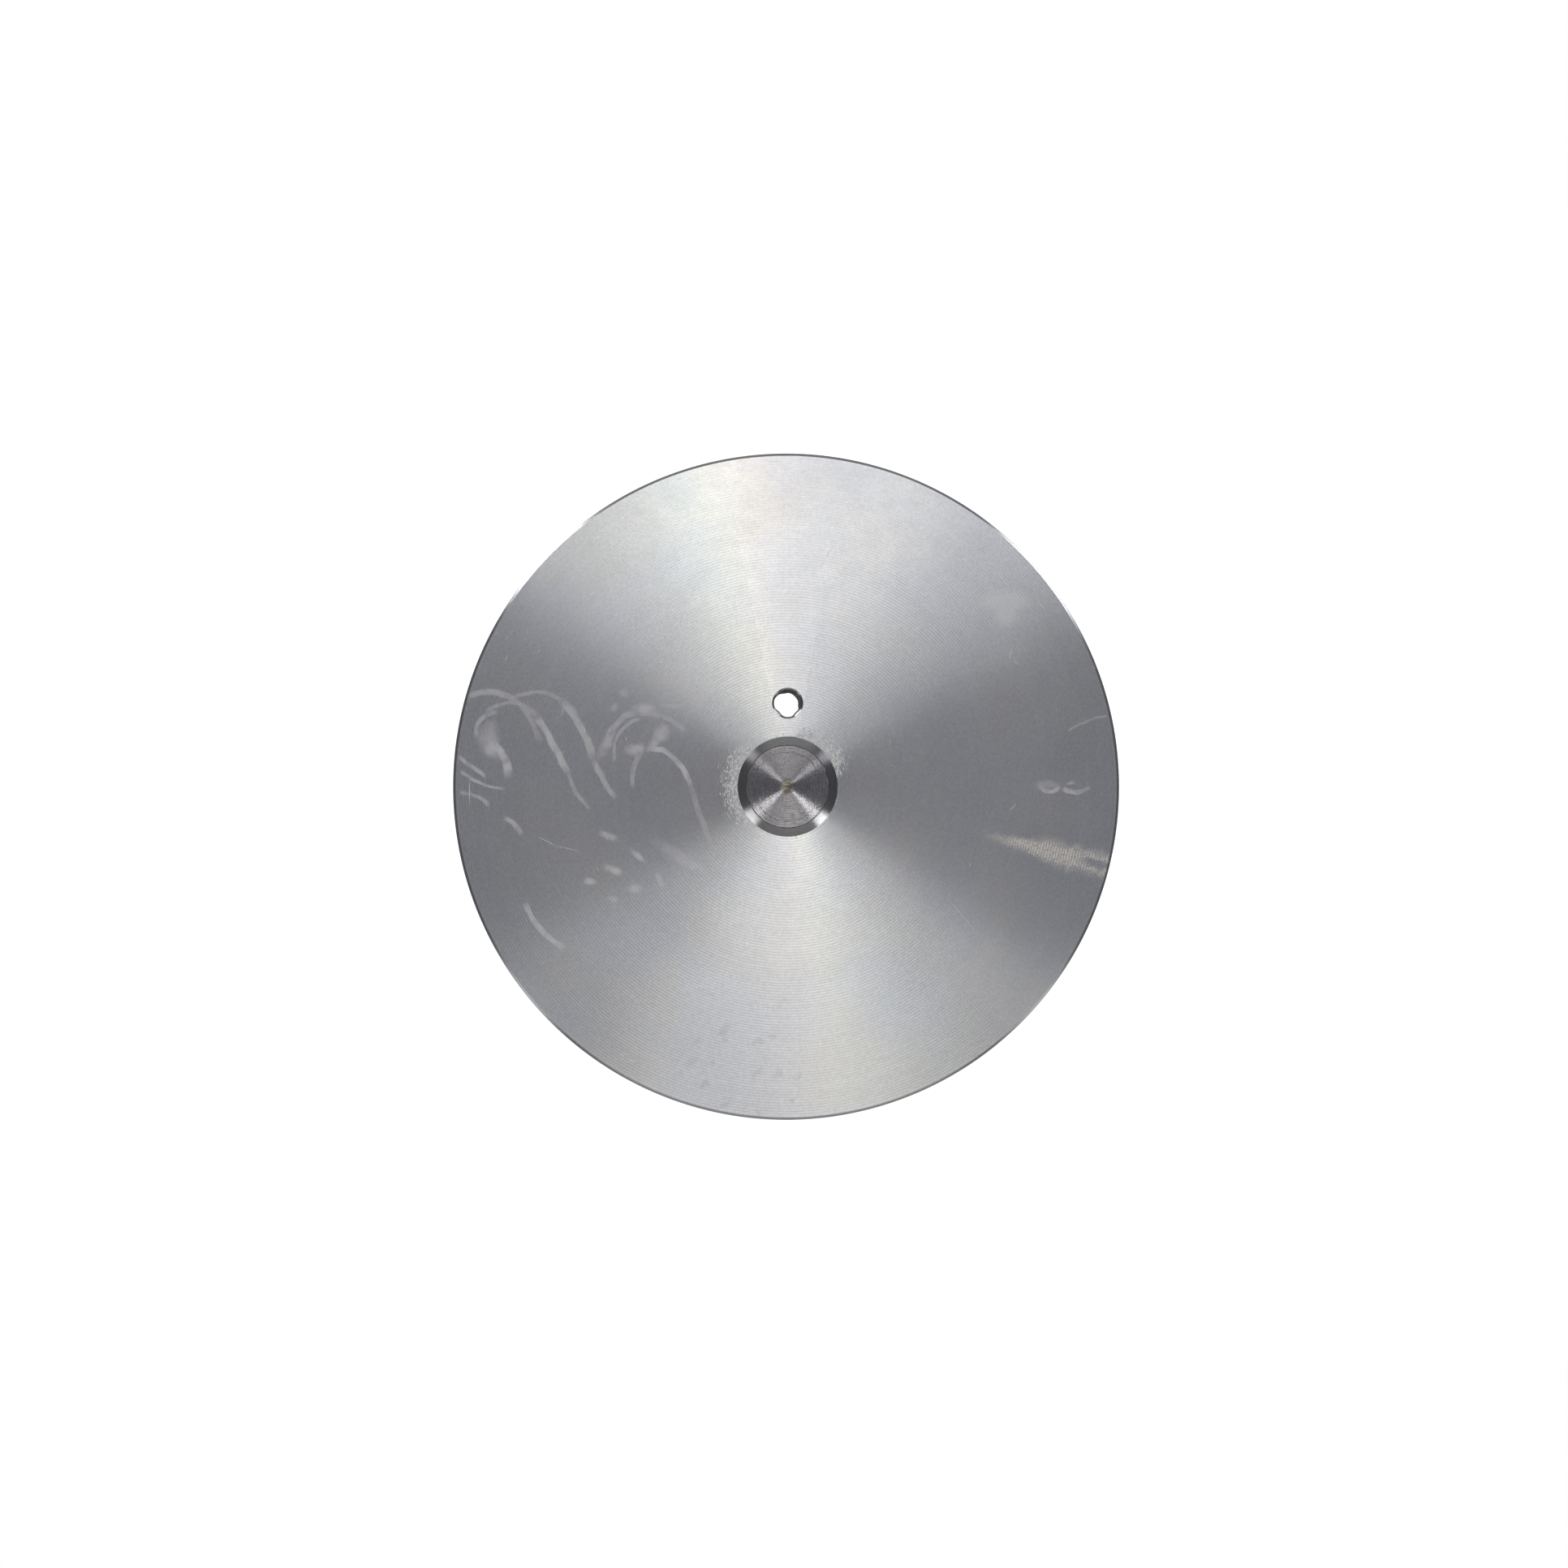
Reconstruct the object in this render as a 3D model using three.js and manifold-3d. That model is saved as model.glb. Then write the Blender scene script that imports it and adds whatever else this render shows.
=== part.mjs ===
// A solid brake disc rotor pressed on a short spindle, which turns in two sealed ball bearings
// inside a plain carrier tube. Millimetres, +Z up. The origin is on the spin axis, at the
// carrier's rear end face; the rotor's turned front face looks along +Z, and its drive-pin hole
// lies towards +Y.
import * as THREE from "three";
import { mergeVertices } from "three/addons/utils/BufferGeometryUtils.js";
import Module from "manifold-3d";

const wasm = await Module();
wasm.setup();

// ---- Driving dimensions ---------------------------------------------------------------------

const ROTOR_RADIUS = 60;
const PLATE_THICKNESS = 5;
const RIM_CHAMFER = 0.5;
const BOSS_RADIUS = 21;
const BOSS_DEPTH = 7; // how far the boss stands behind the plate
const SEAT_RADIUS = 7.5; // the bore that grips the spindle
const COUNTERSINK = 1.5; // the 45 degree cone in the front of that bore
const DRIVE_HOLE_RADIUS = 2.5;
const DRIVE_HOLE_OFFSET = 15; // from the spin axis, towards +Y
const DRIVE_HOLE_CHAMFER = 0.2;

const CARRIER_RADIUS = 12;
const CARRIER_LENGTH = 34;
const CARRIER_WAIST = 8.5; // bore radius between the bearings
const CARRIER_CHAMFER = 0.5;
const CARRIER_GROOVE = { low: 4, high: 5.3, depth: 0.7 }; // outside, for a housing's snap ring

const JOURNAL_RADIUS = 5; // spindle in the bearings
const THREAD_RADIUS = 4; // M8
const FLANGE_RADIUS = 9.5;
const FLANGE_THICKNESS = 1.4;
const FLANGE_GAP = 0.6; // between the carrier's front end and the flange
const ABUTMENT_RADIUS = 6.2; // the step that presses on the front bearing's inner ring
const SPINDLE_TIP = 2.4; // height of the threaded end above the carrier's rear face
const SPINDLE_EDGE = 0.3; // edge break round the visible end

const BEARING = {
  bore: 5,
  outer: 9.5,
  width: 5,
  pitch: 7.25, // radius of the ball circle
  ball: 1.19, // ball radius
  balls: 11,
  innerLand: 6.35,
  outerLand: 8.2,
};
const BALL_CLEARANCE = 0.15; // between a ball and its races and pocket
const REAR_BEARING_Z = 11.5; // middle of the rear bearing
const FRONT_BEARING_Z = 31; // middle of the front bearing

const FIT_GAP = 0.05; // radial gap that a press or slide fit is drawn with
const FACE_GAP = 0.05; // axial gap between pieces that clamp each other

const CIRCLIP = { thickness: 1, inner: 8, outer: 9.9, lugInner: 6.7, openingDeg: 50, lugDeg: 16 };
const WASHER = { bore: 4.2, outer: 5.9, thickness: 1.6 };
const NUT = { acrossFlats: 13, height: 4.4, bore: 4.1, recess: 5.2, recessDepth: 1.4 };
const SET_SCREW = { radius: 2.5, length: 10, socketAcrossFlats: 2.5, socketDepth: 3, point: 1.2 };
const SET_SCREW_ANGLES_DEG = { left: -135, right: -45 }; // about +Z, from +X
const FLAT_DEPTH = 0.5; // ground on the spindle under each set screw

const DISC_SEGMENTS = 64;
const TUBE_SEGMENTS = 32;
const RING_SEGMENTS = 24;
const SMALL_SEGMENTS = 16;

// ---- Places that follow from them ------------------------------------------------------------

const FLANGE_REAR_Z = CARRIER_LENGTH + FLANGE_GAP;
const BOSS_REAR_Z = FLANGE_REAR_Z + FLANGE_THICKNESS;
const PLATE_REAR_Z = BOSS_REAR_Z + BOSS_DEPTH;
const FRONT_Z = PLATE_REAR_Z + PLATE_THICKNESS;
const SEAT_TOP_Z = FRONT_Z - COUNTERSINK;
const BOSS_MIDDLE_Z = (BOSS_REAR_Z + PLATE_REAR_Z) / 2;
const HALF_WIDTH = BEARING.width / 2;
const REAR_RACE_Z = REAR_BEARING_Z - HALF_WIDTH; // rear face of the rear bearing
const NUT_TOP_Z = REAR_RACE_Z - WASHER.thickness - 2 * FACE_GAP;
const NUT_LOW_Z = NUT_TOP_Z - NUT.height;

// ---- Materials -------------------------------------------------------------------------------

const metal = (color, roughness) =>
  new THREE.MeshStandardMaterial({ color, roughness, metalness: 1 });
const TURNED_STEEL = metal(0xb4b6ba, 0.32);
const SPINDLE_STEEL = metal(0x97989b, 0.25);
const CARRIER_STEEL = metal(0xa9abae, 0.35);
const BEARING_STEEL = metal(0xc4c6c9, 0.12);
const BLACK_STEEL = metal(0x2b2b2d, 0.45);
const ZINC_STEEL = metal(0xbfc2c4, 0.3);
const SEAL_RUBBER = new THREE.MeshStandardMaterial({ color: 0x1d1d1e, roughness: 0.7 });
const CAGE_NYLON = new THREE.MeshStandardMaterial({ color: 0xd9d4c2, roughness: 0.55 });
const INSERT_NYLON = new THREE.MeshStandardMaterial({ color: 0x3f6fae, roughness: 0.5 });

// ---- Geometry helpers ------------------------------------------------------------------------

// Turns a closed outline of [radius, height] pairs about the Z axis. The outline runs
// clockwise, with the radius to the right and the height up.
function turned(outline, segments) {
  const points = [...outline, outline[0]].map(([r, z]) => new THREE.Vector2(r, z)).reverse();
  return new THREE.LatheGeometry(points, segments).rotateX(Math.PI / 2);
}

// A square-edged ring, or a disc where the inner radius is 0.
function ring(inner, outer, low, high, segments) {
  return turned([[inner, low], [inner, high], [outer, high], [outer, low]], segments);
}

function toSolid(geometry) {
  const bare = geometry.index ? geometry.toNonIndexed() : geometry.clone();
  bare.deleteAttribute("normal");
  bare.deleteAttribute("uv");
  const merged = mergeVertices(bare, 1e-4);
  return new wasm.Manifold(
    new wasm.Mesh({
      numProp: 3,
      vertProperties: new Float32Array(merged.attributes.position.array),
      triVerts: new Uint32Array(merged.index.array),
    }),
  );
}

function toGeometry(solid) {
  const { vertProperties, triVerts } = solid.getMesh();
  const geometry = new THREE.BufferGeometry();
  geometry.setAttribute("position", new THREE.BufferAttribute(vertProperties, 3));
  geometry.setIndex(new THREE.BufferAttribute(triVerts, 1));
  const flat = geometry.toNonIndexed();
  flat.computeVertexNormals();
  return flat;
}

function cut(geometry, ...tools) {
  return toGeometry(tools.reduce((solid, tool) => solid.subtract(toSolid(tool)), toSolid(geometry)));
}

// A prism along Z on a regular polygon, given across its flats.
function polygonPrism(sides, acrossFlats, low, high) {
  const radius = acrossFlats / 2 / Math.cos(Math.PI / sides);
  return new THREE.CylinderGeometry(radius, radius, high - low, sides)
    .rotateX(Math.PI / 2)
    .translate(0, 0, (low + high) / 2);
}

// A cylinder along Z, turned to point outwards along +X at the given height and angle.
function radialTool(geometry, height, angleDeg) {
  return geometry
    .rotateY(Math.PI / 2)
    .rotateZ(THREE.MathUtils.degToRad(angleDeg))
    .translate(0, 0, height);
}

function mesh(name, geometry, material) {
  const made = new THREE.Mesh(geometry, material);
  made.name = name;
  return made;
}

// ---- Rotor -----------------------------------------------------------------------------------

function rotorDisc() {
  const rim = ROTOR_RADIUS - RIM_CHAMFER;
  const body = turned(
    [
      [SEAT_RADIUS, BOSS_REAR_Z],
      [SEAT_RADIUS, SEAT_TOP_Z],
      [SEAT_RADIUS + COUNTERSINK, FRONT_Z],
      [rim, FRONT_Z],
      [ROTOR_RADIUS, FRONT_Z - RIM_CHAMFER],
      [ROTOR_RADIUS, PLATE_REAR_Z + RIM_CHAMFER],
      [rim, PLATE_REAR_Z],
      [BOSS_RADIUS, PLATE_REAR_Z],
      [BOSS_RADIUS, BOSS_REAR_Z + RIM_CHAMFER],
      [BOSS_RADIUS - RIM_CHAMFER, BOSS_REAR_Z],
    ],
    DISC_SEGMENTS,
  );
  const over = 1; // how far the cutting tools run past the faces
  const wide = DRIVE_HOLE_RADIUS + DRIVE_HOLE_CHAMFER + over;
  const driveHole = turned(
    [
      [0, BOSS_REAR_Z - over],
      [0, FRONT_Z + over],
      [wide, FRONT_Z + over],
      [DRIVE_HOLE_RADIUS, FRONT_Z - DRIVE_HOLE_CHAMFER],
      [DRIVE_HOLE_RADIUS, BOSS_REAR_Z + DRIVE_HOLE_CHAMFER],
      [wide, BOSS_REAR_Z - over],
    ],
    SMALL_SEGMENTS,
  ).translate(0, DRIVE_HOLE_OFFSET, 0);
  const screwHoles = Object.values(SET_SCREW_ANGLES_DEG).map((angle) =>
    radialTool(
      ring(0, SET_SCREW.radius + 0.1, SEAT_RADIUS - over, BOSS_RADIUS + over, SMALL_SEGMENTS),
      BOSS_MIDDLE_Z,
      angle,
    ),
  );
  return mesh("rotor_disc", cut(body, driveHole, ...screwHoles), TURNED_STEEL);
}

function spindle() {
  const seat = SEAT_RADIUS - FIT_GAP;
  const top = SEAT_TOP_Z - 0.1;
  const shaft = turned(
    [
      [0, SPINDLE_TIP],
      [0, top],
      [seat - SPINDLE_EDGE, top],
      [seat, top - SPINDLE_EDGE],
      [seat, BOSS_REAR_Z - FACE_GAP],
      [FLANGE_RADIUS, BOSS_REAR_Z - FACE_GAP],
      [FLANGE_RADIUS, FLANGE_REAR_Z],
      [ABUTMENT_RADIUS, FLANGE_REAR_Z],
      [ABUTMENT_RADIUS, FRONT_BEARING_Z + HALF_WIDTH + FACE_GAP],
      [JOURNAL_RADIUS, FRONT_BEARING_Z + HALF_WIDTH + FACE_GAP],
      [JOURNAL_RADIUS, REAR_RACE_Z + 0.3],
      [THREAD_RADIUS, REAR_RACE_Z + 0.3],
      [THREAD_RADIUS, SPINDLE_TIP + 0.8],
      [THREAD_RADIUS - 0.8, SPINDLE_TIP],
    ],
    TUBE_SEGMENTS,
  );
  const flats = Object.values(SET_SCREW_ANGLES_DEG).map((angle) =>
    new THREE.BoxGeometry(2, SET_SCREW.radius * 2, SET_SCREW.radius * 2)
      .translate(seat - FLAT_DEPTH + 1, 0, 0)
      .rotateZ(THREE.MathUtils.degToRad(angle))
      .translate(0, 0, BOSS_MIDDLE_Z),
  );
  return mesh("spindle", cut(shaft, ...flats), SPINDLE_STEEL);
}

// A cup-point grub screw with a hexagon socket, lying in the boss and pressing on a flat.
function setScrew(side) {
  const start = SEAT_RADIUS - FIT_GAP - FLAT_DEPTH + FACE_GAP;
  const end = start + SET_SCREW.length;
  const { radius, point } = SET_SCREW;
  const body = turned(
    [
      [0, start],
      [0, end],
      [radius - SPINDLE_EDGE, end],
      [radius, end - SPINDLE_EDGE],
      [radius, start + point],
      [radius - point, start],
    ],
    SMALL_SEGMENTS,
  );
  const socket = polygonPrism(6, SET_SCREW.socketAcrossFlats, end - SET_SCREW.socketDepth, end + 1);
  const screw = radialTool(cut(body, socket), BOSS_MIDDLE_Z, SET_SCREW_ANGLES_DEG[side]);
  return mesh(`set_screw_${side}`, screw, BLACK_STEEL);
}

function spacerSleeve() {
  const low = REAR_BEARING_Z + HALF_WIDTH + FACE_GAP;
  const high = FRONT_BEARING_Z - HALF_WIDTH - FACE_GAP;
  return mesh(
    "spacer_sleeve",
    ring(JOURNAL_RADIUS + FIT_GAP, ABUTMENT_RADIUS, low, high, RING_SEGMENTS),
    ZINC_STEEL,
  );
}

function spindleWasher() {
  const high = REAR_RACE_Z - FACE_GAP;
  return mesh(
    "spindle_washer",
    ring(WASHER.bore, WASHER.outer, high - WASHER.thickness, high, RING_SEGMENTS),
    ZINC_STEEL,
  );
}

// A hexagon lock nut. Its nylon insert is a ring in a recess at the rear end.
function lockNut() {
  const over = 1;
  const hexagon = polygonPrism(6, NUT.acrossFlats, NUT_LOW_Z, NUT_TOP_Z);
  const thread = ring(0, NUT.bore, NUT_LOW_Z - over, NUT_TOP_Z + over, RING_SEGMENTS);
  const recess = ring(0, NUT.recess, NUT_LOW_Z - over, NUT_LOW_Z + NUT.recessDepth, RING_SEGMENTS);
  return mesh("lock_nut", cut(hexagon, thread, recess), ZINC_STEEL);
}

function lockNutInsert() {
  const outer = NUT.recess - FIT_GAP;
  const low = NUT_LOW_Z + FIT_GAP;
  const high = NUT_LOW_Z + NUT.recessDepth - FACE_GAP;
  return mesh("lock_nut_insert", ring(NUT.bore, outer, low, high, RING_SEGMENTS), INSERT_NYLON);
}

// ---- Carrier ---------------------------------------------------------------------------------

function bearingCarrier() {
  const c = CARRIER_CHAMFER;
  const bore = BEARING.outer;
  const groove = REAR_RACE_Z - FACE_GAP;
  const grooveLow = groove - CIRCLIP.thickness - 0.1;
  return mesh(
    "bearing_carrier",
    turned(
      [
        [bore + c, 0],
        [bore, c],
        [bore, grooveLow],
        [CIRCLIP.outer + 0.1, grooveLow],
        [CIRCLIP.outer + 0.1, groove],
        [bore, groove],
        [bore, REAR_BEARING_Z + HALF_WIDTH],
        [CARRIER_WAIST, REAR_BEARING_Z + HALF_WIDTH],
        [CARRIER_WAIST, FRONT_BEARING_Z - HALF_WIDTH],
        [bore, FRONT_BEARING_Z - HALF_WIDTH],
        [bore, CARRIER_LENGTH],
        [CARRIER_RADIUS - c, CARRIER_LENGTH],
        [CARRIER_RADIUS, CARRIER_LENGTH - c],
        [CARRIER_RADIUS, CARRIER_GROOVE.high],
        [CARRIER_RADIUS - CARRIER_GROOVE.depth, CARRIER_GROOVE.high],
        [CARRIER_RADIUS - CARRIER_GROOVE.depth, CARRIER_GROOVE.low],
        [CARRIER_RADIUS, CARRIER_GROOVE.low],
        [CARRIER_RADIUS, c],
        [CARRIER_RADIUS - c, 0],
      ],
      TUBE_SEGMENTS,
    ),
    CARRIER_STEEL,
  );
}

// The internal retaining ring behind the rear bearing: an open ring with two lugs. The opening
// and the lugs are centred on -Y.
function carrierCirclip() {
  const { thickness, inner, outer, lugInner, openingDeg, lugDeg } = CIRCLIP;
  const half = THREE.MathUtils.degToRad(openingDeg / 2);
  const lug = THREE.MathUtils.degToRad(lugDeg);
  const shape = new THREE.Shape();
  const middle = -Math.PI / 2;
  const start = middle + half;
  const end = middle + 2 * Math.PI - half;
  shape.absarc(0, 0, outer, start, end, false);
  shape.absarc(0, 0, lugInner, end, end - lug, true);
  shape.absarc(0, 0, inner, end - lug, start + lug, true);
  shape.absarc(0, 0, lugInner, start + lug, start, true);
  const flat = new THREE.ExtrudeGeometry(shape, {
    depth: thickness,
    bevelEnabled: false,
    curveSegments: SMALL_SEGMENTS,
  });
  const low = REAR_RACE_Z - FACE_GAP - thickness - 0.05;
  return mesh("carrier_circlip", flat.translate(0, 0, low), BLACK_STEEL);
}

// ---- Ball bearings ---------------------------------------------------------------------------

// Outline points along a race groove, from height -z to +z where it meets the land. side is -1
// for the inner ring's race and +1 for the outer ring's.
function raceGroove(land, side) {
  const radius = BEARING.ball + BALL_CLEARANCE;
  const reach = Math.acos(Math.abs(land - BEARING.pitch) / radius);
  const steps = 4;
  return Array.from({ length: steps + 1 }, (_, i) => {
    const angle = -reach + (2 * reach * i) / steps;
    return [BEARING.pitch + side * radius * Math.cos(angle), radius * Math.sin(angle)];
  });
}

function innerRing(name) {
  const { bore, innerLand } = BEARING;
  const outline = [
    [bore + FIT_GAP, -HALF_WIDTH],
    [bore + FIT_GAP, HALF_WIDTH],
    [innerLand, HALF_WIDTH],
    ...raceGroove(innerLand, -1).reverse(),
    [innerLand, -HALF_WIDTH],
  ];
  return mesh(`${name}_inner_ring`, turned(outline, RING_SEGMENTS), BEARING_STEEL);
}

const SEAL = { inner: 6.55, outer: 8.6, low: 1.8, high: 2.3 };

function outerRing(name) {
  const { outer, outerLand } = BEARING;
  const step = SEAL.outer + FIT_GAP;
  const outline = [
    [outer - FIT_GAP, HALF_WIDTH],
    [outer - FIT_GAP, -HALF_WIDTH],
    [step, -HALF_WIDTH],
    [step, 0.1 - SEAL.low],
    [outerLand, 0.1 - SEAL.low],
    ...raceGroove(outerLand, 1),
    [outerLand, SEAL.low - 0.1],
    [step, SEAL.low - 0.1],
    [step, HALF_WIDTH],
  ];
  return mesh(`${name}_outer_ring`, turned(outline, RING_SEGMENTS), BEARING_STEEL);
}

function seal(name, side) {
  const [low, high] = side > 0 ? [SEAL.low, SEAL.high] : [-SEAL.high, -SEAL.low];
  const label = side > 0 ? "upper" : "lower";
  return mesh(
    `${name}_${label}_seal`,
    ring(SEAL.inner, SEAL.outer, low, high, RING_SEGMENTS),
    SEAL_RUBBER,
  );
}

const CAGE = { width: 3.2, wall: 0.9 };
const ballAngle = (i) => (2 * Math.PI * i) / BEARING.balls + Math.PI / 2;

// A moulded cage: one ring with a round pocket for each ball.
function cage(name) {
  const { pitch, balls } = BEARING;
  const half = CAGE.width / 2;
  const pocket = BEARING.ball + BALL_CLEARANCE;
  const body = ring(pitch - CAGE.wall / 2, pitch + CAGE.wall / 2, -half, half, balls * 2);
  const pockets = Array.from({ length: balls }, (_, i) =>
    new THREE.CylinderGeometry(pocket, pocket, 2 * CAGE.wall, 8)
      .rotateZ(Math.PI / 2)
      .translate(pitch, 0, 0)
      .rotateZ(ballAngle(i)),
  );
  return mesh(`${name}_cage`, cut(body, ...pockets), CAGE_NYLON);
}

function ball(name, i) {
  const label = String(i + 1).padStart(2, "0");
  const geometry = new THREE.IcosahedronGeometry(BEARING.ball, 1);
  const made = mesh(`${name}_ball_${label}`, geometry, BEARING_STEEL);
  const angle = ballAngle(i);
  made.position.set(BEARING.pitch * Math.cos(angle), BEARING.pitch * Math.sin(angle), 0);
  return made;
}

function ballBearing(name, height) {
  const group = new THREE.Group();
  group.position.z = height;
  group.add(innerRing(name), outerRing(name), cage(name), seal(name, 1), seal(name, -1));
  for (let i = 0; i < BEARING.balls; i++) group.add(ball(name, i));
  return group;
}

// ---- Assembly --------------------------------------------------------------------------------

const part = new THREE.Group();
part.add(
  rotorDisc(),
  spindle(),
  setScrew("left"),
  setScrew("right"),
  spacerSleeve(),
  spindleWasher(),
  lockNut(),
  lockNutInsert(),
  bearingCarrier(),
  carrierCirclip(),
  ballBearing("front_bearing", FRONT_BEARING_Z),
  ballBearing("rear_bearing", REAR_BEARING_Z),
);

export default part;
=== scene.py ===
import math

import bmesh
import bpy
from mathutils import Matrix, Vector


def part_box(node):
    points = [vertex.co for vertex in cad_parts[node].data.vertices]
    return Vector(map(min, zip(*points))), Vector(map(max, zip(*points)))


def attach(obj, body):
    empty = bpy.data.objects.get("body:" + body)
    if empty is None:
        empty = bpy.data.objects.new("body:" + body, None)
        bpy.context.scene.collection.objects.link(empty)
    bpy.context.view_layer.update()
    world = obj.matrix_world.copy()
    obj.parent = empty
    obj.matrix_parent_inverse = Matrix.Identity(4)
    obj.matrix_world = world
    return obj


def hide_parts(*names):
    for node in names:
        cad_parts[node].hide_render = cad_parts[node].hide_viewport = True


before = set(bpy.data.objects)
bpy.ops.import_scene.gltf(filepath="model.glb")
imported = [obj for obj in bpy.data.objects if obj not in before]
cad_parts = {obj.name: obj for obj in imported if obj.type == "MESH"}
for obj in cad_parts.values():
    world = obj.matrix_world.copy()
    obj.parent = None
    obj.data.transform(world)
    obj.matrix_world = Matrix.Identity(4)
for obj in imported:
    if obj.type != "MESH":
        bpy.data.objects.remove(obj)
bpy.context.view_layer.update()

MM = 0.001

# ---- Sizes, from the frame and from the rotor's own driving dimensions ----


def low(node):
    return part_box(node)[0]


def high(node):
    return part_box(node)[1]


FRONT_Z = high("rotor_disc").z
ROTOR_RADIUS = high("rotor_disc").x
BOSS_REAR_Z = low("rotor_disc").z
PLATE_REAR_Z = FRONT_Z - 5 * MM
BOSS_RADIUS = 21 * MM
RIM_CHAMFER = 0.5 * MM
SEAT_RADIUS = 7.5 * MM
COUNTERSINK = 1.5 * MM
HOLE_RADIUS = 2.5 * MM
HOLE_OFFSET = 15 * MM
BOSS_MIDDLE_Z = (BOSS_REAR_Z + PLATE_REAR_Z) / 2
SCREW_RADIUS = 2.5 * MM
SCREW_PITCH = 0.8 * MM
SCREW_THREAD = 0.3 * MM
SCREW_ANGLES = {"left": math.radians(-135), "right": math.radians(-45)}

SPINDLE_TOP_Z = high("spindle").z
SPINDLE_TIP_Z = low("spindle").z
FLANGE_RADIUS = high("spindle").x
JOURNAL_RADIUS = 5 * MM
THREAD_RADIUS = 4 * MM
THREAD_PITCH = 1.25 * MM
THREAD_TOP_Z = low("rear_bearing_inner_ring").z + 0.3 * MM
ABUTMENT_RADIUS = 6.2 * MM

CARRIER_RADIUS = high("bearing_carrier").x
CARRIER_TOP_Z = high("bearing_carrier").z
BEARING_SEAT = 9.5 * MM
CARRIER_WAIST = 8.5 * MM

# How far the tool moved in each turn.
ROTOR_FEED = 0.5 * MM
SPINDLE_FEED = 0.23 * MM


# ---- Mesh helpers ----


def softened(outline, radius, steps=3):
    """The closed outline with its corners rounded, except those on the axis."""
    result = []
    for i, corner in enumerate(outline):
        before = Vector(outline[i - 1])
        corner = Vector(corner)
        after = Vector(outline[(i + 1) % len(outline)])
        if corner.x < 1e-7:
            result.append(tuple(corner))
            continue
        back, ahead = before - corner, after - corner
        half = back.angle(ahead) / 2
        if half > math.radians(80):
            result.append(tuple(corner))
            continue
        reach = min(radius / math.tan(half), 0.4 * back.length, 0.4 * ahead.length)
        start = corner + back.normalized() * reach
        end = corner + ahead.normalized() * reach
        for step in range(steps + 1):
            t = step / steps
            point = start.lerp(corner, t).lerp(corner.lerp(end, t), t)
            result.append(tuple(point))
    return result


def finish_mesh(mesh, sharp_angle=math.radians(32)):
    """Shades the mesh smooth, with its hard edges kept."""
    made = bmesh.new()
    made.from_mesh(mesh)
    for face in made.faces:
        face.smooth = True
    for edge in made.edges:
        edge.smooth = len(edge.link_faces) == 2 and edge.calc_face_angle(0) < sharp_angle
    made.to_mesh(mesh)
    made.free()


def new_piece(name, made):
    """An object from a finished bmesh."""
    bmesh.ops.recalc_face_normals(made, faces=made.faces)
    mesh = bpy.data.meshes.new(name)
    made.to_mesh(mesh)
    made.free()
    finish_mesh(mesh)
    piece = bpy.data.objects.new(name, mesh)
    bpy.context.scene.collection.objects.link(piece)
    return piece


def lathe(name, outline, segments, place=None, radius_at=None):
    """Turns a closed outline of (radius, height) points about the Z axis. place moves the result.
    radius_at(radius, height, angle) gives the radius where the surface isn't round."""
    made = bmesh.new()
    rings = []
    for radius, height in outline:
        if radius < 1e-7:
            rings.append([made.verts.new((0, 0, height))])
            continue
        ring = []
        for k in range(segments):
            angle = 2 * math.pi * k / segments
            r = radius_at(radius, height, angle) if radius_at else radius
            ring.append(made.verts.new((r * math.cos(angle), r * math.sin(angle), height)))
        rings.append(ring)
    for i, ring in enumerate(rings):
        following = rings[(i + 1) % len(rings)]
        if len(ring) == 1 and len(following) == 1:
            continue
        for k in range(segments):
            corners = [ring[k % len(ring)], ring[(k + 1) % len(ring)]]
            corners += [following[(k + 1) % len(following)], following[k % len(following)]]
            made.faces.new(list(dict.fromkeys(corners)))
    if place is not None:
        made.transform(place)
    return new_piece(name, made)


def prism(name, outline, bottom, top, place=None):
    """A straight prism along Z on a closed outline of (x, y) points."""
    made = bmesh.new()
    lower = [made.verts.new((x, y, bottom)) for x, y in outline]
    upper = [made.verts.new((x, y, top)) for x, y in outline]
    made.faces.new(lower)
    made.faces.new(upper)
    for i in range(len(outline)):
        j = (i + 1) % len(outline)
        made.faces.new([lower[i], lower[j], upper[j], upper[i]])
    if place is not None:
        made.transform(place)
    return new_piece(name, made)


def ring_outline(inner, outer, bottom, top):
    return [(inner, bottom), (inner, top), (outer, top), (outer, bottom)]


def polygon(sides, across_flats):
    radius = across_flats / 2 / math.cos(math.pi / sides)
    corners = [math.radians(90) + 2 * math.pi * i / sides for i in range(sides)]
    return [(radius * math.cos(a), radius * math.sin(a)) for a in corners]


def outwards(angle, height):
    """Turns a shape made along Z so that it points away from the axis at that angle."""
    turn = Matrix.Rotation(angle, 4, "Z") @ Matrix.Rotation(math.pi / 2, 4, "Y")
    return Matrix.Translation((0, 0, height)) @ turn


def carve(piece, tools, operation="DIFFERENCE"):
    """Cuts the tools out of the piece, or keeps only what it shares with them."""
    for tool in tools:
        modifier = piece.modifiers.new("carve", "BOOLEAN")
        modifier.object = tool
        modifier.operation = operation
        modifier.solver = "EXACT"
    view_layer = bpy.context.view_layer
    view_layer.update()
    carved = piece.evaluated_get(bpy.context.evaluated_depsgraph_get())
    mesh = bpy.data.meshes.new_from_object(carved)
    piece.modifiers.clear()
    piece.data = mesh
    for tool in tools:
        bpy.data.objects.remove(tool)
    finish_mesh(mesh)
    return piece


def fit(piece, node, body, material):
    """Puts a finished piece in the place of its CAD node."""
    piece.data.materials.clear()
    piece.data.materials.append(material)
    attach(piece, body)
    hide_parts(node)
    return piece


# ---- Node helpers ----


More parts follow.
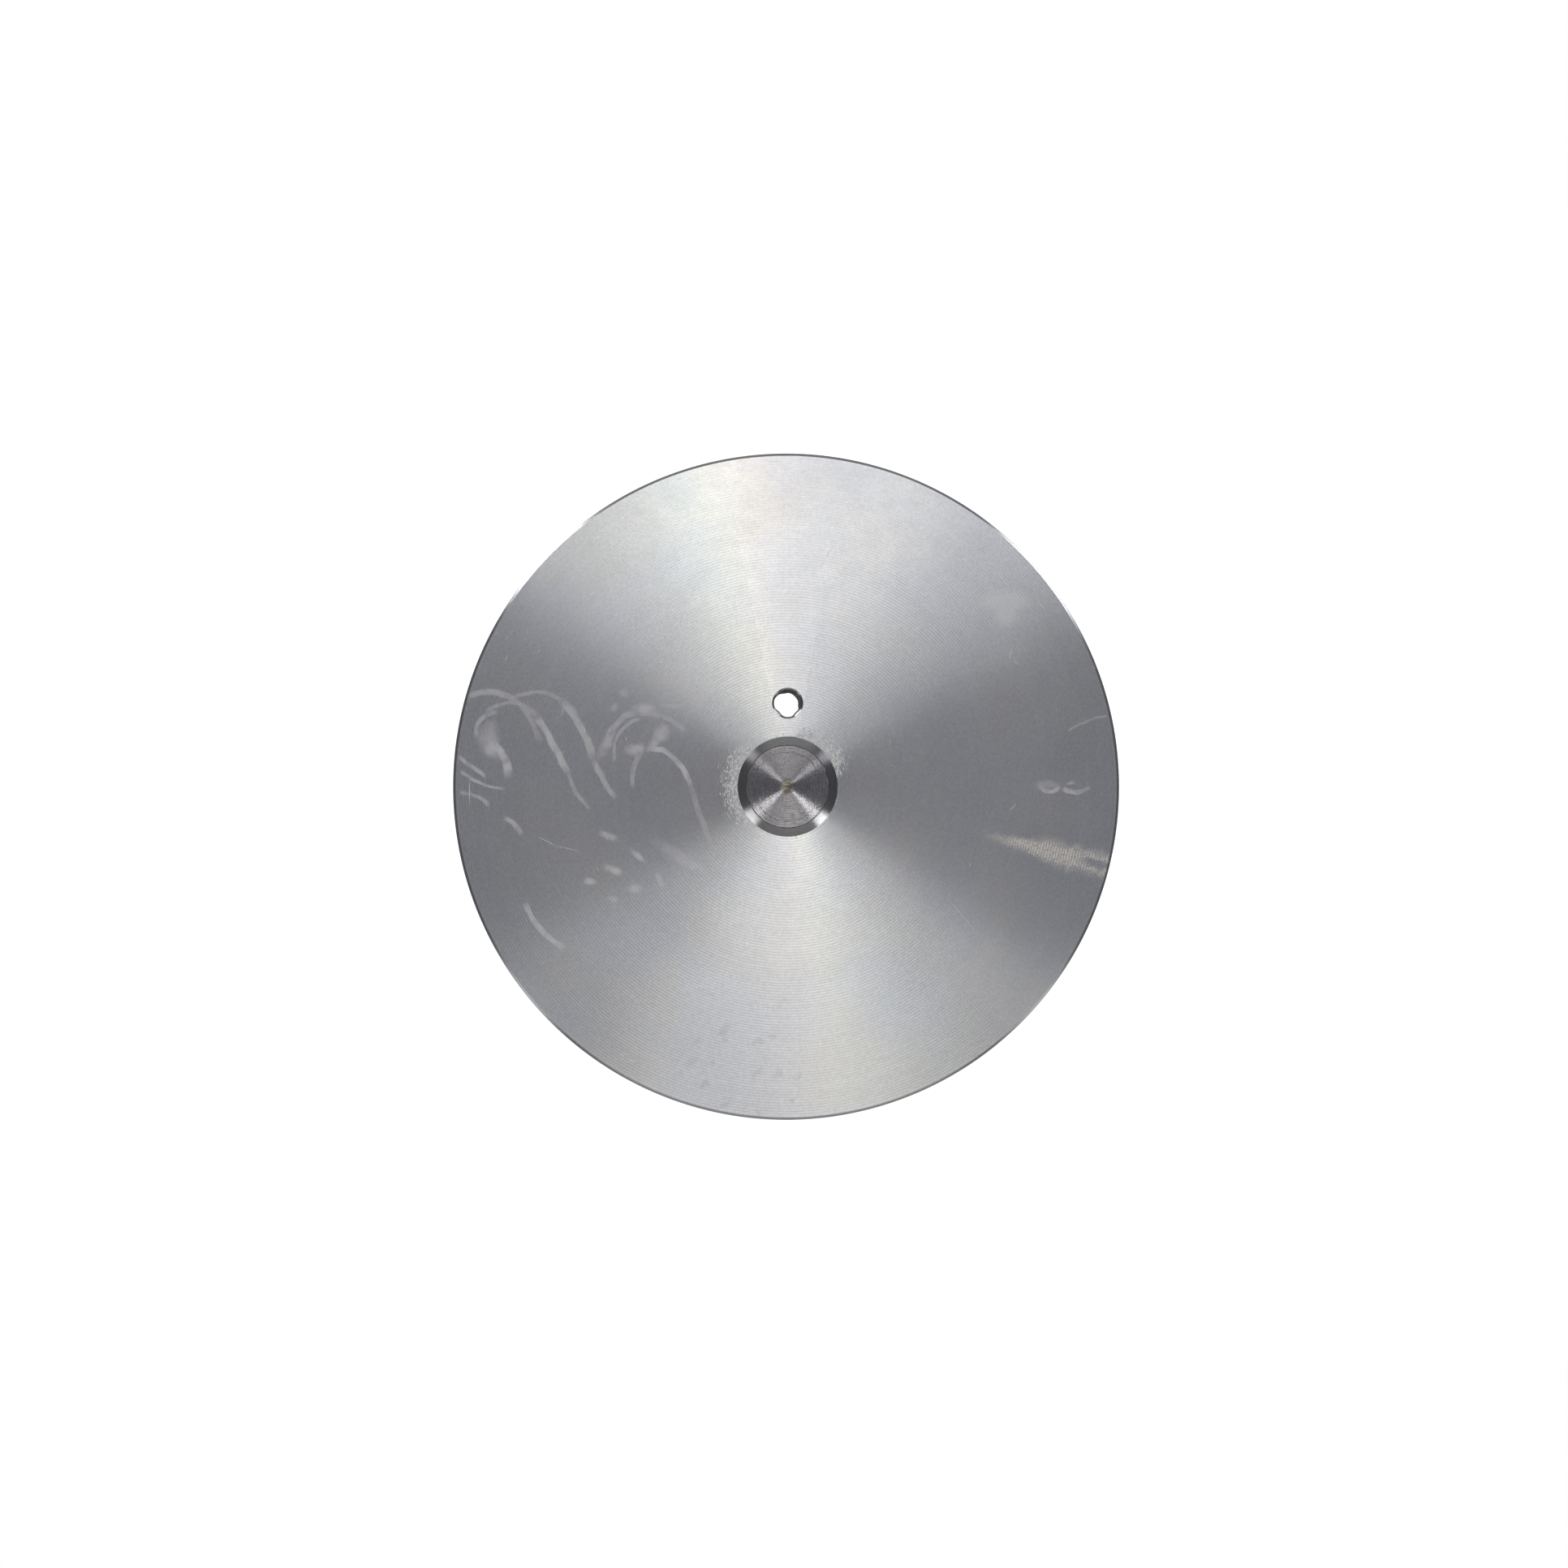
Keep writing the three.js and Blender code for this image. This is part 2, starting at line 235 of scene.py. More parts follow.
class Graph:
    """Adds nodes to one node tree. An input is a number, a colour, a vector or a socket. Below, g
    is always a Graph, and a kind of node is named without the ShaderNode that its type starts with."""

    def __init__(self, tree):
        self.tree = tree
        tree.nodes.clear()

    def node(self, kind, inputs=None, **settings):
        made = self.tree.nodes.new("ShaderNode" + kind)
        for key, value in settings.items():
            setattr(made, key, value)
        for key, value in (inputs or {}).items():
            self.feed(made.inputs[key], value)
        return made

    def feed(self, socket, value):
        if isinstance(value, bpy.types.NodeSocket):
            self.tree.links.new(value, socket)
        elif isinstance(value, tuple) and len(value) == 3 and socket.type == "RGBA":
            socket.default_value = (*value, 1)
        else:
            socket.default_value = value

    def math(self, operation, a, b=0.0, c=0.0):
        made = self.node("Math", {0: a, 1: b, 2: c}, operation=operation)
        return made.outputs[0]

    def times(self, a, b):
        return self.math("MULTIPLY", a, b)

    def fold(self, operation, values):
        total = values[0]
        for value in values[1:]:
            total = self.math(operation, total, value)
        return total

    def vector(self, operation, a, b=(0, 0, 0)):
        made = self.node("VectorMath", {0: a, 1: b}, operation=operation)
        return made.outputs["Value" if operation in ("DOT_PRODUCT", "LENGTH") else "Vector"]

    def scaled(self, a, factor):
        return self.node("VectorMath", {0: a, "Scale": factor}, operation="SCALE").outputs[0]

    def lerp(self, factor, a, b):
        made = self.node("Mix", data_type="FLOAT")
        for index, value in ((0, factor), (2, a), (3, b)):
            self.feed(made.inputs[index], value)
        return made.outputs[0]

    def lerp_vector(self, factor, a, b):
        made = self.node("Mix", data_type="VECTOR")
        for index, value in ((0, factor), (4, a), (5, b)):
            self.feed(made.inputs[index], value)
        return made.outputs[1]

    def combine(self, x, y, z):
        return self.node("CombineXYZ", {0: x, 1: y, 2: z}).outputs[0]

    def separate(self, vector):
        return self.node("SeparateXYZ", {0: vector}).outputs

    def smooth(self, value, start, end, first=0.0, last=1.0):
        """Goes smoothly from first at start to last at end."""
        inputs = {"Value": value, "From Min": start, "From Max": end, "To Min": first, "To Max": last}
        return self.node("MapRange", inputs, interpolation_type="SMOOTHSTEP").outputs[0]

    def band(self, value, start, end, soft):
        """1 from start to end, 0 outside, with soft edges."""
        rise = self.smooth(value, start - soft, start + soft)
        fall = self.smooth(value, end - soft, end + soft, 1.0, 0.0)
        return self.times(rise, fall)

    def mix(self, factor, a, b):
        made = self.node("Mix", data_type="RGBA")
        for index, value in ((0, factor), (6, a), (7, b)):
            self.feed(made.inputs[index], value)
        return made.outputs[2]

    def noise(self, vector, scale, detail=2.0, roughness=0.5):
        inputs = {"Vector": vector, "Scale": scale, "Detail": detail, "Roughness": roughness}
        return self.node("TexNoise", inputs).outputs["Fac"]

    def random_vector(self, vector, scale, detail, roughness=0.5):
        """Three independent noises between about -0.5 and 0.5."""
        inputs = {"Vector": vector, "Scale": scale, "Detail": detail, "Roughness": roughness}
        colour = self.node("TexNoise", inputs).outputs["Color"]
        return self.vector("SUBTRACT", colour, (0.5, 0.5, 0.5))

    def to_world(self, vector):
        """The direction in the world of one given in the object's own space."""
        settings = {"vector_type": "VECTOR", "convert_from": "OBJECT", "convert_to": "WORLD"}
        return self.node("VectorTransform", {"Vector": vector}, **settings).outputs[0]


# ---- Material helpers ----


def new_material(name):
    material = bpy.data.materials.new(name)
    material.use_nodes = True
    return material, Graph(material.node_tree)


def shaded(g, colour, metallic, roughness, normal, anisotropic=0.0, tangent=None):
    """The finished surface: one Principled shader. A tangent along the tool marks is turned by a
    quarter, so that the light is spread out across them."""
    inputs = {"Base Color": colour, "Metallic": metallic, "Roughness": roughness, "Normal": normal}
    inputs["Anisotropic"] = anisotropic
    if tangent is not None:
        inputs |= {"Tangent": tangent, "Anisotropic Rotation": 0.25}
    shader = g.node("BsdfPrincipled", inputs)
    g.node("OutputMaterial", {"Surface": shader.outputs[0]})


def cylindrical(g):
    """The surface point's position in mm, distance from the axis, outward direction and height."""
    position = g.node("TexCoord").outputs["Object"]
    x, y, z = g.separate(position)
    flat = g.combine(x, y, 0.0)
    return g.scaled(position, 1 / MM), g.vector("LENGTH", flat), g.vector("NORMALIZE", flat), z


def lathe_grooves(g, radius, outward, height, pitch, slope, uneven=0.5, pointed=False):
    """The grooves of a turned surface: its normal, how the grooves tilt that, where it is a face and
    not a cylinder, a random value for each groove, and how near its crest. A round-nosed tool leaves
    hollow grooves, so the slope runs evenly from one side to the other. A pointed tool leaves a long
    side that steepens and a short one. Faces are grooved outwards and cylinders along the axis."""
    normal = g.node("NewGeometry").outputs["Normal"]
    facing = g.math("ABSOLUTE", g.separate(normal)[2])
    on_face = g.math("GREATER_THAN", facing, 0.85)
    distance = g.lerp(on_face, height, radius)
    across = g.lerp_vector(on_face, (0, 0, 1), outward)
    turns = g.math("DIVIDE", distance, pitch)
    part = g.math("FRACT", turns)
    index = g.math("FLOOR", turns)
    chance = g.node("TexWhiteNoise", {"W": index}, noise_dimensions="1D").outputs["Value"]
    depth = g.math("MULTIPLY_ADD", chance, 2 * uneven, 1 - uneven)
    tooth = g.math("MULTIPLY_ADD", part, 2.0, -1.0)
    if pointed:
        flank = g.smooth(part, 0.0, 0.7, -0.25, -1.6)
        tooth = g.lerp(g.smooth(part, 0.7, 0.76), flank, 0.95)
    tilt = g.times(g.times(tooth, depth), slope)
    crest = g.smooth(g.math("ABSOLUTE", g.math("SUBTRACT", part, 0.5)), 0.3, 0.5)
    return normal, g.scaled(across, tilt), on_face, chance, crest


def tilted(g, normal, *tilts):
    """The normal after the given tilts, which are in the object's own space."""
    total = tilts[0]
    for tilt in tilts[1:]:
        total = g.vector("ADD", total, tilt)
    return g.vector("NORMALIZE", g.vector("ADD", normal, g.to_world(total)))


def ring_noise(g, radius, outward, around, across, detail, roughness):
    """Three noises drawn out along the tool marks. around and across set how fine they are."""
    place = g.combine(0.0, 0.0, g.times(radius, across))
    place = g.vector("ADD", g.scaled(outward, around), place)
    return g.separate(g.random_vector(place, 1.0, detail, roughness))


def rough_tilt(g, outward, across, along):
    """A tilt across the tool marks and along them."""
    around = g.vector("CROSS_PRODUCT", (0, 0, 1), outward)
    return g.vector("ADD", g.scaled(outward, across), g.scaled(around, along))


def band_tilt(g, radius, outward, fineness, detail, strength):
    """A tilt across the tool marks that is the same all round a ring."""
    bands = g.noise(g.combine(g.times(radius, fineness), 0.0, 0.0), 1.0, detail)
    return g.scaled(outward, g.times(g.math("SUBTRACT", bands, 0.5), strength))


def ring_tangent(g, outward):
    """The direction the tool marks run in: round the axis that outward points away from."""
    return g.to_world(g.vector("CROSS_PRODUCT", (0, 0, 1), outward))


# ---- Wear on the rotor's front face ----

# Finger wipes: where each starts, passes and ends, its half width and its strength. In mm.
WIPES = [
    ((-57.5, 16.0), (-53.0, 17.0), (-48.5, 15.2), 0.55, 0.7),
    ((-48.5, 15.2), (-46.0, 12.0), (-44.4, 8.0), 0.5, 0.5),
    ((-54.0, 13.5), (-49.0, 14.9), (-45.0, 12.6), 0.4, 0.6),
    ((-45.0, 12.6), (-41.6, 6.9), (-39.6, 2.5), 0.65, 0.9),
    ((-39.6, 2.5), (-38.0, -0.6), (-35.5, -4.0), 0.4, 0.6),
    ((-49.0, 16.2), (-44.5, 16.8), (-40.3, 15.3), 0.35, 0.6),
    ((-40.3, 15.3), (-37.0, 10.3), (-34.8, 5.0), 0.75, 0.8),
    ((-34.8, 5.0), (-33.1, 1.2), (-30.8, -2.0), 0.55, 0.7),
    ((-32.6, 6.0), (-31.0, 11.0), (-27.0, 13.3), 0.55, 0.7),
    ((-27.0, 13.3), (-22.5, 12.6), (-18.5, 10.0), 0.5, 0.5),
    ((-31.2, 4.5), (-30.2, 9.5), (-26.5, 12.3), 0.3, 0.6),
    ((-25.0, 7.0), (-20.3, 4.9), (-17.5, 0.0), 0.5, 1.0),
    ((-17.5, 0.0), (-15.9, -4.5), (-14.0, -9.5), 0.55, 0.8),
    ((-26.0, 6.5), (-27.5, 3.5), (-27.9, 0.0), 0.45, 0.6),
    ((-55.4, 9.0), (-54.9, 12.2), (-52.0, 13.2), 0.45, 0.7),
    ((-54.2, 8.5), (-51.6, 6.4), (-50.0, 2.0), 0.8, 1.0),
    ((-59.0, 5.5), (-56.3, 3.3), (-54.0, 1.8), 0.35, 0.8),
    ((-58.6, 3.0), (-55.0, 0.6), (-51.0, -0.5), 0.3, 0.8),
    ((-58.6, -1.0), (-56.0, -1.8), (-53.5, -3.5), 0.3, 0.7),
    ((-51.0, -5.6), (-49.2, -6.4), (-47.8, -8.6), 0.45, 0.8),
    ((-47.0, -21.0), (-44.3, -25.6), (-40.0, -28.8), 0.5, 0.9),
    ((45.3, 0.4), (47.3, -0.8), (49.2, 0.3), 0.4, 0.85),
    ((49.6, 0.0), (52.0, -1.1), (54.4, 0.1), 0.4, 0.85),
    ((50.5, 10.0), (54.0, 11.7), (57.5, 12.8), 0.22, 0.5),
]

# Finger and drop marks: centre, half length, half width, angle in degrees and strength. In mm.
PRINTS = [
    ((-53.6, 9.0), 2.4, 1.5, 80, 0.7),
    ((-53.0, 6.6), 1.9, 1.1, -50, 0.8),
    ((-22.7, 9.5), 1.5, 1.1, 55, 0.9),
    ((-24.2, 7.6), 1.4, 0.7, 50, 0.9),
    ((-27.3, 6.7), 1.5, 0.9, 10, 0.9),
    ((-25.7, 14.0), 1.6, 0.9, 0, 0.8),
    ((-32.4, 8.0), 2.6, 0.9, 65, 0.7),
    ((-31.2, 14.2), 0.9, 0.5, 40, 0.5),
    ((-29.2, 17.0), 1.0, 0.7, 0, 0.5),
    ((-32.1, -8.8), 1.5, 0.6, -20, 1.0),
    ((-26.9, -12.4), 1.4, 0.5, -42, 0.9),
    ((-31.3, -15.0), 1.5, 0.55, -20, 1.0),
    ((-35.4, -17.0), 1.0, 0.5, 0, 0.9),
    ((-27.3, -18.3), 1.0, 0.7, 0, 0.7),
    ((-22.9, -16.6), 1.2, 0.6, -60, 0.6),
    ((-31.4, -20.3), 0.9, 0.4, -15, 0.6),
    ((-19.5, -12.5), 5.0, 0.9, -32, 0.4),
    ((46.8, 0.4), 2.0, 0.6, 0, 0.45),
    ((51.0, 0.5), 0.7, 0.3, 0, 0.7),
]

# Bright marks: both ends, half width and, unless it is a clean scratch, strength. In mm.
SCRATCHES = [
    ((-22.6, 14.6), (-19.6, 14.6), 0.06),
    ((-22.0, 14.3), (-19.8, 14.25), 0.05),
    ((40.0, -4.4), (41.2, -3.1), 0.07),
    ((-44.8, -9.0), (-41.5, -10.6), 0.06),
    ((-41.5, -10.6), (-37.0, -11.7), 0.05),
    ((-57.0, -3.0), (-57.0, 1.2), 0.07),
    ((17.0, 24.5), (17.8, 27.5), 0.05),
    ((29.6, -21.0), (33.6, -25.8), 0.05),
    ((-6.5, -38.2), (-2.0, -37.4), 0.05),
    ((5.0, 38.0), (8.6, 44.0), 0.04),
    ((40.0, 22.9), (40.4, 24.8), 0.06),
    ((12.0, -27.0), (13.2, -32.0), 0.04),
    ((35.2, 33.4), (43.4, 33.4), 1.7, 0.5),
    ((37.4, 31.4), (41.4, 31.2), 2.2, 0.5),
]


def arc_through(start, middle, end):
    """The centre and radius of the circle through three points, the direction from there to the
    middle of the arc, and the cosine of half the arc's angle."""
    (ax, ay), (bx, by), (cx, cy) = start, middle, end
    area = 2 * (ax * (by - cy) + bx * (cy - ay) + cx * (ay - by))
    a, b, c = ax * ax + ay * ay, bx * bx + by * by, cx * cx + cy * cy
    centre = Vector((a * (by - cy) + b * (cy - ay) + c * (ay - by),
                     a * (cx - bx) + b * (ax - cx) + c * (bx - ax))) / area
    first = (Vector(start) - centre).normalized()
    last = (Vector(end) - centre).normalized()
    half = math.acos(max(-1, min(1, first.dot(last)))) / 2
    return centre, (Vector(middle) - centre).length, (first + last).normalized(), math.cos(half)


def wipe_mask(g, point, start, middle, end, half_width, strength):
    centre, radius, direction, spread = arc_through(start, middle, end)
    offset = g.vector("SUBTRACT", point, (*centre, 0))
    away = g.math("ABSOLUTE", g.math("SUBTRACT", g.vector("LENGTH", offset), radius))
    across = g.smooth(away, half_width * 0.65, half_width * 1.2, strength, 0.0)
    turn = g.vector("DOT_PRODUCT", g.vector("NORMALIZE", offset), (*direction, 0))
    ends = half_width * 2 / radius * math.sqrt(max(1 - spread * spread, 0.01))
    return g.times(across, g.smooth(turn, spread - ends / 2, spread + ends))


def print_mask(g, point, centre, half_length, half_width, angle, strength, soft=0.65):
    turn = math.radians(angle)
    offset = g.vector("SUBTRACT", point, (*centre, 0))
    along = (math.cos(turn) / half_length, math.sin(turn) / half_length, 0)
    across = (-math.sin(turn) / half_width, math.cos(turn) / half_width, 0)
    u = g.vector("DOT_PRODUCT", offset, along)
    v = g.vector("DOT_PRODUCT", offset, across)
    reach = g.vector("LENGTH", g.combine(u, v, 0.0))
    return g.smooth(reach, 1 - soft, 1 + soft, strength, 0.0)


def scratch_mask(g, point, start, end, half_width, strength=1.0):
    start, end = Vector(start), Vector(end)
    middle, run = (start + end) / 2, end - start
    angle = math.degrees(math.atan2(run.y, run.x))
    return print_mask(g, point, tuple(middle), run.length / 2, half_width, angle, strength, 0.6)


def front_wear(g, mm, height):
    """Masks on the front face: greasy marks, scratches, a stained stripe, dried drops and dust."""
    x, y, _ = g.separate(mm)
    flat = g.combine(x, y, 0.0)
    uneven = g.vector("ADD", flat, g.random_vector(flat, 0.3, 1.0))
    front = g.math("GREATER_THAN", height, FRONT_Z - 0.05 * MM)
    marks = [wipe_mask(g, uneven, *wipe) for wipe in WIPES]
    marks += [print_mask(g, uneven, *mark) for mark in PRINTS]
    broken = g.smooth(g.noise(flat, 0.55, 5.0, 0.6), 0.3, 0.6, 0.45, 1.0)
    grease = g.times(g.fold("MAXIMUM", marks), broken)
    scratches = g.fold("MAXIMUM", [scratch_mask(g, flat, *scratch) for scratch in SCRATCHES])
    masks = (grease, scratches, tan_stripe(g, flat), drop_marks(g, flat), dust(g, flat))
    return [g.times(mask, front) for mask in masks]


def tan_stripe(g, flat):
    """A wisp of tan stain that widens towards the rim on +X, where it forks. It clings to the
    groove crests."""
    x, y, _ = g.separate(flat)
    wobble = g.math("MULTIPLY_ADD", g.noise(flat, 0.5, 4.0, 0.65), 3.0, -1.5)
    middle = g.math("MULTIPLY_ADD", g.math("SUBTRACT", x, 38.0), -0.26, -9.3)
    width = g.smooth(x, 36.0, 50.0, 0.7, 2.4)
    aside = g.math("ABSOLUTE", g.math("SUBTRACT", g.math("ADD", y, wobble), middle))
    away = g.math("DIVIDE", aside, width)
    fork = g.times(g.smooth(x, 51.0, 55.0), g.smooth(away, 0.1, 0.45, 0.85, 0.0))
    body = g.math("SUBTRACT", g.smooth(away, 0.2, 1.4, 1.0, 0.0), fork)
    rings = g.times(g.vector("LENGTH", flat), 2 * math.pi * MM / ROTOR_FEED)
    crests = g.smooth(g.math("SINE", rings), -0.8, 0.9, 0.55, 1.0)
    streaks = g.noise(flat, 2.4, 4.0, 0.75)
    grow = g.smooth(x, 33.5, 42.0, 0.0, 1.3)
    spread = g.times(g.smooth(streaks, 0.3, 0.6), grow)
    return g.times(g.times(body, crests), spread)


def drop_marks(g, flat):
    """Dried drops, a little longer than wide, scattered near the rim towards -Y."""
    uneven = g.vector("ADD", flat, g.scaled(g.random_vector(flat, 0.5, 1.0), 3.0))
    along = g.vector("DOT_PRODUCT", uneven, (0.5, 0.36, 0))
    across = g.vector("DOT_PRODUCT", uneven, (-0.58, 0.81, 0))
    stretched = g.combine(along, across, 0.0)
    cells = g.node("TexVoronoi", {"Vector": stretched, "Scale": 0.42})
    size = g.separate(cells.outputs["Color"])
    reach = g.smooth(size[0], 0.1, 1.0, 0.0, 0.36)
    edge = g.math("SUBTRACT", cells.outputs["Distance"], reach)
    x, y, _ = g.separate(flat)
    near_rim = g.smooth(y, -46.0, -32.0, 1.0, 0.0)
    near_rim = g.times(near_rim, g.band(x, -18.0, 6.0, 5.0))
    return g.times(g.smooth(edge, -0.1, 0.05, 1.0, 0.0), near_rim)


def dust(g, flat):
    """Bright specks, about a tenth of a millimetre across."""
    cells = g.node("TexVoronoi", {"Vector": flat, "Scale": 0.42})
    size = g.separate(cells.outputs["Color"])
    reach = g.smooth(size[1], 0.55, 1.0, 0.0, 0.055)
    edge = g.math("SUBTRACT", cells.outputs["Distance"], reach)
    return g.smooth(edge, -0.02, 0.01, 0.8, 0.0)


# ---- Materials ----


def torn_metal(g, radius, outward, on_face):
    """A mask, and three noises that drive it, for the torn metal just outside the countersink,
    where the cutting speed was too low. It reaches furthest towards -X and between +X and +Y."""
    left = g.smooth(g.vector("DOT_PRODUCT", outward, (-0.99, 0.05, 0)), 0.4, 0.95, 0.0, 3.3)
    right = g.smooth(g.vector("DOT_PRODUCT", outward, (0.68, 0.73, 0)), 0.72, 0.97, 0.0, 3.3)
    reach = g.fold("ADD", [left, right, g.noise(g.scaled(outward, 2.0), 1.0, 2.0)])
    reach = g.math("MULTIPLY_ADD", reach, MM, SEAT_RADIUS + COUNTERSINK + 0.4 * MM)
    zone = g.smooth(g.math("SUBTRACT", reach, radius), -1.2 * MM, 3.9 * MM)
    lift = ring_noise(g, radius, outward, 16.0, 4400.0, 3.0, 0.65)
    flakes = g.math("MULTIPLY_ADD", zone, 0.31, g.math("ADD", lift[0], 0.5))
    return g.times(g.smooth(flakes, 0.68, 0.8), on_face), lift


def turned_steel():
    """The rotor: faced with a round-nosed tool, with a torn zone near the bore and worn outside."""
    material, g = new_material("turned_steel")
    mm, radius, outward, height = cylindrical(g)
    normal, groove, on_face, chance, crest = lathe_grooves(
        g, radius, outward, height, ROTOR_FEED, slope=0.075, uneven=0.12)
    grease, scratches, stripe, drops, specks = front_wear(g, mm, height)
    torn, lift = torn_metal(g, radius, outward, on_face)
    torn_tilt = rough_tilt(g, outward, g.times(lift[2], 2.0), g.times(lift[1], 3.4))
    grain = g.separate(g.random_vector(mm, 5.0, 2.0))
    grain_tilt = rough_tilt(g, outward, g.times(grain[1], 0.12), g.times(grain[0], 0.07))
    bands = band_tilt(g, radius, outward, 260.0, 3.0, 0.025)
    surface = tilted(g, normal, groove, g.scaled(torn_tilt, torn), grain_tilt, bands)

    # Clean steel, a little different from groove to groove, in its grain and in broad clouds. The
    # rim, the bores and the countersink are painted darker, as painted shade.
    inside = g.math("LESS_THAN", radius, SEAT_RADIUS + COUNTERSINK)
    shade = g.fold("MULTIPLY", [
        g.math("MULTIPLY_ADD", g.math("SUBTRACT", chance, 0.5), 0.025, 1.0),
        g.smooth(g.noise(mm, 0.05, 3.0, 0.55), 0.3, 0.7, 0.96, 1.03),
        g.smooth(grain[2], -0.25, 0.25, 0.92, 1.08),
        g.smooth(g.noise(mm, 1.6, 4.0, 0.75), 0.3, 0.7, 0.94, 1.06),
        # A touch darker at each groove's crest: painted shade.
        g.smooth(crest, 0.0, 1.0, 1.004, 0.992),
        # Painted shade: darker off the faces, and darker again inside the countersink.
        g.lerp(on_face, 0.82, 1.0),
        g.lerp(inside, 1.0, 0.8),
    ])
    tint = g.smooth(g.noise(mm, 0.045, 5.0, 0.6), 0.4, 0.6)
    steel = g.scaled(g.mix(tint, (0.656, 0.667, 0.699), (0.675, 0.674, 0.678)), shade)

    # Wear, and painted shade on the wall of the drive-pin hole, whose tool marks run round its own
    # axis.
    from_hole = g.vector("SUBTRACT", g.scaled(outward, radius), (0, HOLE_OFFSET, 0))
    in_hole = g.math("LESS_THAN", g.vector("LENGTH", from_hole), HOLE_RADIUS + EDGE_BREAK)
    tool_outward = g.vector("NORMALIZE", g.lerp_vector(in_hole, outward, from_hole))
    in_bore = g.times(in_hole, g.math("LESS_THAN", height, FRONT_Z - EDGE_BREAK))
    marks = g.math("MAXIMUM", scratches, specks)
    steel = g.mix(grease, steel, (0.86, 0.845, 0.87))
    steel = g.mix(g.times(stripe, 0.95), steel, (1.0, 0.93, 0.84))
    steel = g.mix(g.times(drops, 0.3), steel, (0.42, 0.42, 0.42))
    steel = g.mix(g.math("MAXIMUM", marks, torn), steel, (0.93, 0.93, 0.93))
    # The wall of the drive-pin hole below its edge break is painted dark: painted shade.
    steel = g.mix(in_bore, steel, (0.36, 0.33, 0.31))
    film = [g.times(grease, 0.85), g.times(stripe, 0.95), g.times(marks, 0.85), g.times(torn, 0.58)]
    metallic = g.math("SUBTRACT", 1.0, g.fold("MAXIMUM", film))
    rough = g.math("MULTIPLY_ADD", g.noise(mm, 0.35, 3.0), 0.05, 0.265)
    rough = g.math("ADD", rough, g.times(g.math("MAXIMUM", grease, torn), 0.15))
    shaded(g, steel, metallic, rough, surface, anisotropic=0.93, tangent=ring_tangent(g, tool_outward))
    return material


def spindle_steel():
    """The spindle: a turned end with coarse tool rings, a cream painted highlight on its edge and a
    stained pip.
    """
    material, g = new_material("spindle_steel")
    mm, radius, outward, height = cylindrical(g)
    normal, groove, _, chance, _ = lathe_grooves(
        g, radius, outward, height, SPINDLE_FEED, slope=0.78, uneven=0.2, pointed=True)
    chatter_and_sparkle = ring_noise(g, radius, outward, 11.0, 6500.0, 2.0, 0.7)
    chatter_tilt = rough_tilt(g, outward, g.times(chatter_and_sparkle[0], 0.65), g.times(chatter_and_sparkle[1], 0.45))
    surface = tilted(g, normal, groove, chatter_tilt, band_tilt(g, radius, outward, 1900.0, 1.0, 0.3))
    shade = g.math("MULTIPLY_ADD", g.math("SUBTRACT", chance, 0.5), 0.15, 1.0)
    # Light and dark specks along the tool marks in the colour: painted sparkle.
    shade = g.times(shade, g.smooth(chatter_and_sparkle[2], -0.17, 0.17, 0.78, 1.22))
    steel = g.scaled(g.combine(0.65, 0.63, 0.655), shade)

    end = g.math("GREATER_THAN", height, SPINDLE_TOP_Z - 0.5 * MM)
    pip = g.times(g.smooth(radius, 1.1 * MM, 1.7 * MM, 1.0, 0.0), end)
    stain = g.smooth(g.noise(mm, 0.9, 3.0, 0.6), 0.38, 0.62)
    steel = g.mix(g.times(pip, 0.8), steel, g.mix(stain, (0.22, 0.18, 0.12), (0.72, 0.68, 0.56)))
    # A cream painted highlight round the edge of the end, only towards +Y and -Y.
    edge = g.fold("MULTIPLY", [
        g.smooth(radius, SEAT_RADIUS - 0.36 * MM, SEAT_RADIUS - 0.28 * MM),
        end,
        g.smooth(g.math("ABSOLUTE", g.separate(outward)[1]), 0.55, 0.8),
        g.smooth(g.noise(g.scaled(outward, 4.0), 1.0, 3.0), 0.35, 0.6, 0.3, 1.0),
    ])
    steel = g.mix(edge, steel, (0.88, 0.86, 0.77))
    metallic = g.math("SUBTRACT", 1.0, g.math("MAXIMUM", g.times(pip, 0.5), edge))
    rough = g.math("MULTIPLY_ADD", g.noise(mm, 0.9, 3.0), 0.07, 0.25)
    shaded(g, steel, metallic, rough, surface, anisotropic=0.9, tangent=ring_tangent(g, outward))
    return material


def fine_turned(name, colour, pitch, slope, roughness, anisotropic, spots=0.06):
    """A finely turned or ground steel piece, with light handling marks."""
    material, g = new_material(name)
    mm, radius, outward, height = cylindrical(g)
    normal, groove, _, chance, _ = lathe_grooves(g, radius, outward, height, pitch, slope)
    surface = tilted(g, normal, groove)
    clouds = g.noise(mm, 0.12, 4.0, 0.6)
    shade = g.math("MULTIPLY_ADD", g.math("SUBTRACT", chance, 0.5), 0.06, 1.0)
    shade = g.times(shade, g.smooth(clouds, 0.35, 0.7, 1 - spots, 1 + spots / 2))
    rough = g.math("MULTIPLY_ADD", g.noise(mm, 0.8, 4.0, 0.6), 0.14, roughness - 0.07)
    steel = g.scaled(g.combine(*colour), shade)
    shaded(g, steel, 1.0, rough, surface, anisotropic, ring_tangent(g, outward))
    return material


def plated(name, colour, metallic, roughness, bump, scale):
    """A coated surface: slightly uneven in colour and gloss, with a fine grain."""
    material, g = new_material(name)
    mm = g.scaled(g.node("TexCoord").outputs["Object"], 1 / MM)
    clouds = g.noise(mm, scale * 0.25, 4.0, 0.6)
    grain = g.noise(mm, scale, 3.0, 0.6)
    shade = g.smooth(clouds, 0.3, 0.7, 0.86, 1.12)
    rough = g.math("MULTIPLY_ADD", grain, 0.2, roughness - 0.1)
    relief = g.node("Bump", {"Strength": 0.5, "Distance": bump, "Height": grain})
    shaded(g, g.scaled(g.combine(*colour), shade), metallic, rough, relief.outputs[0])
    return material


# ---- Studio ----

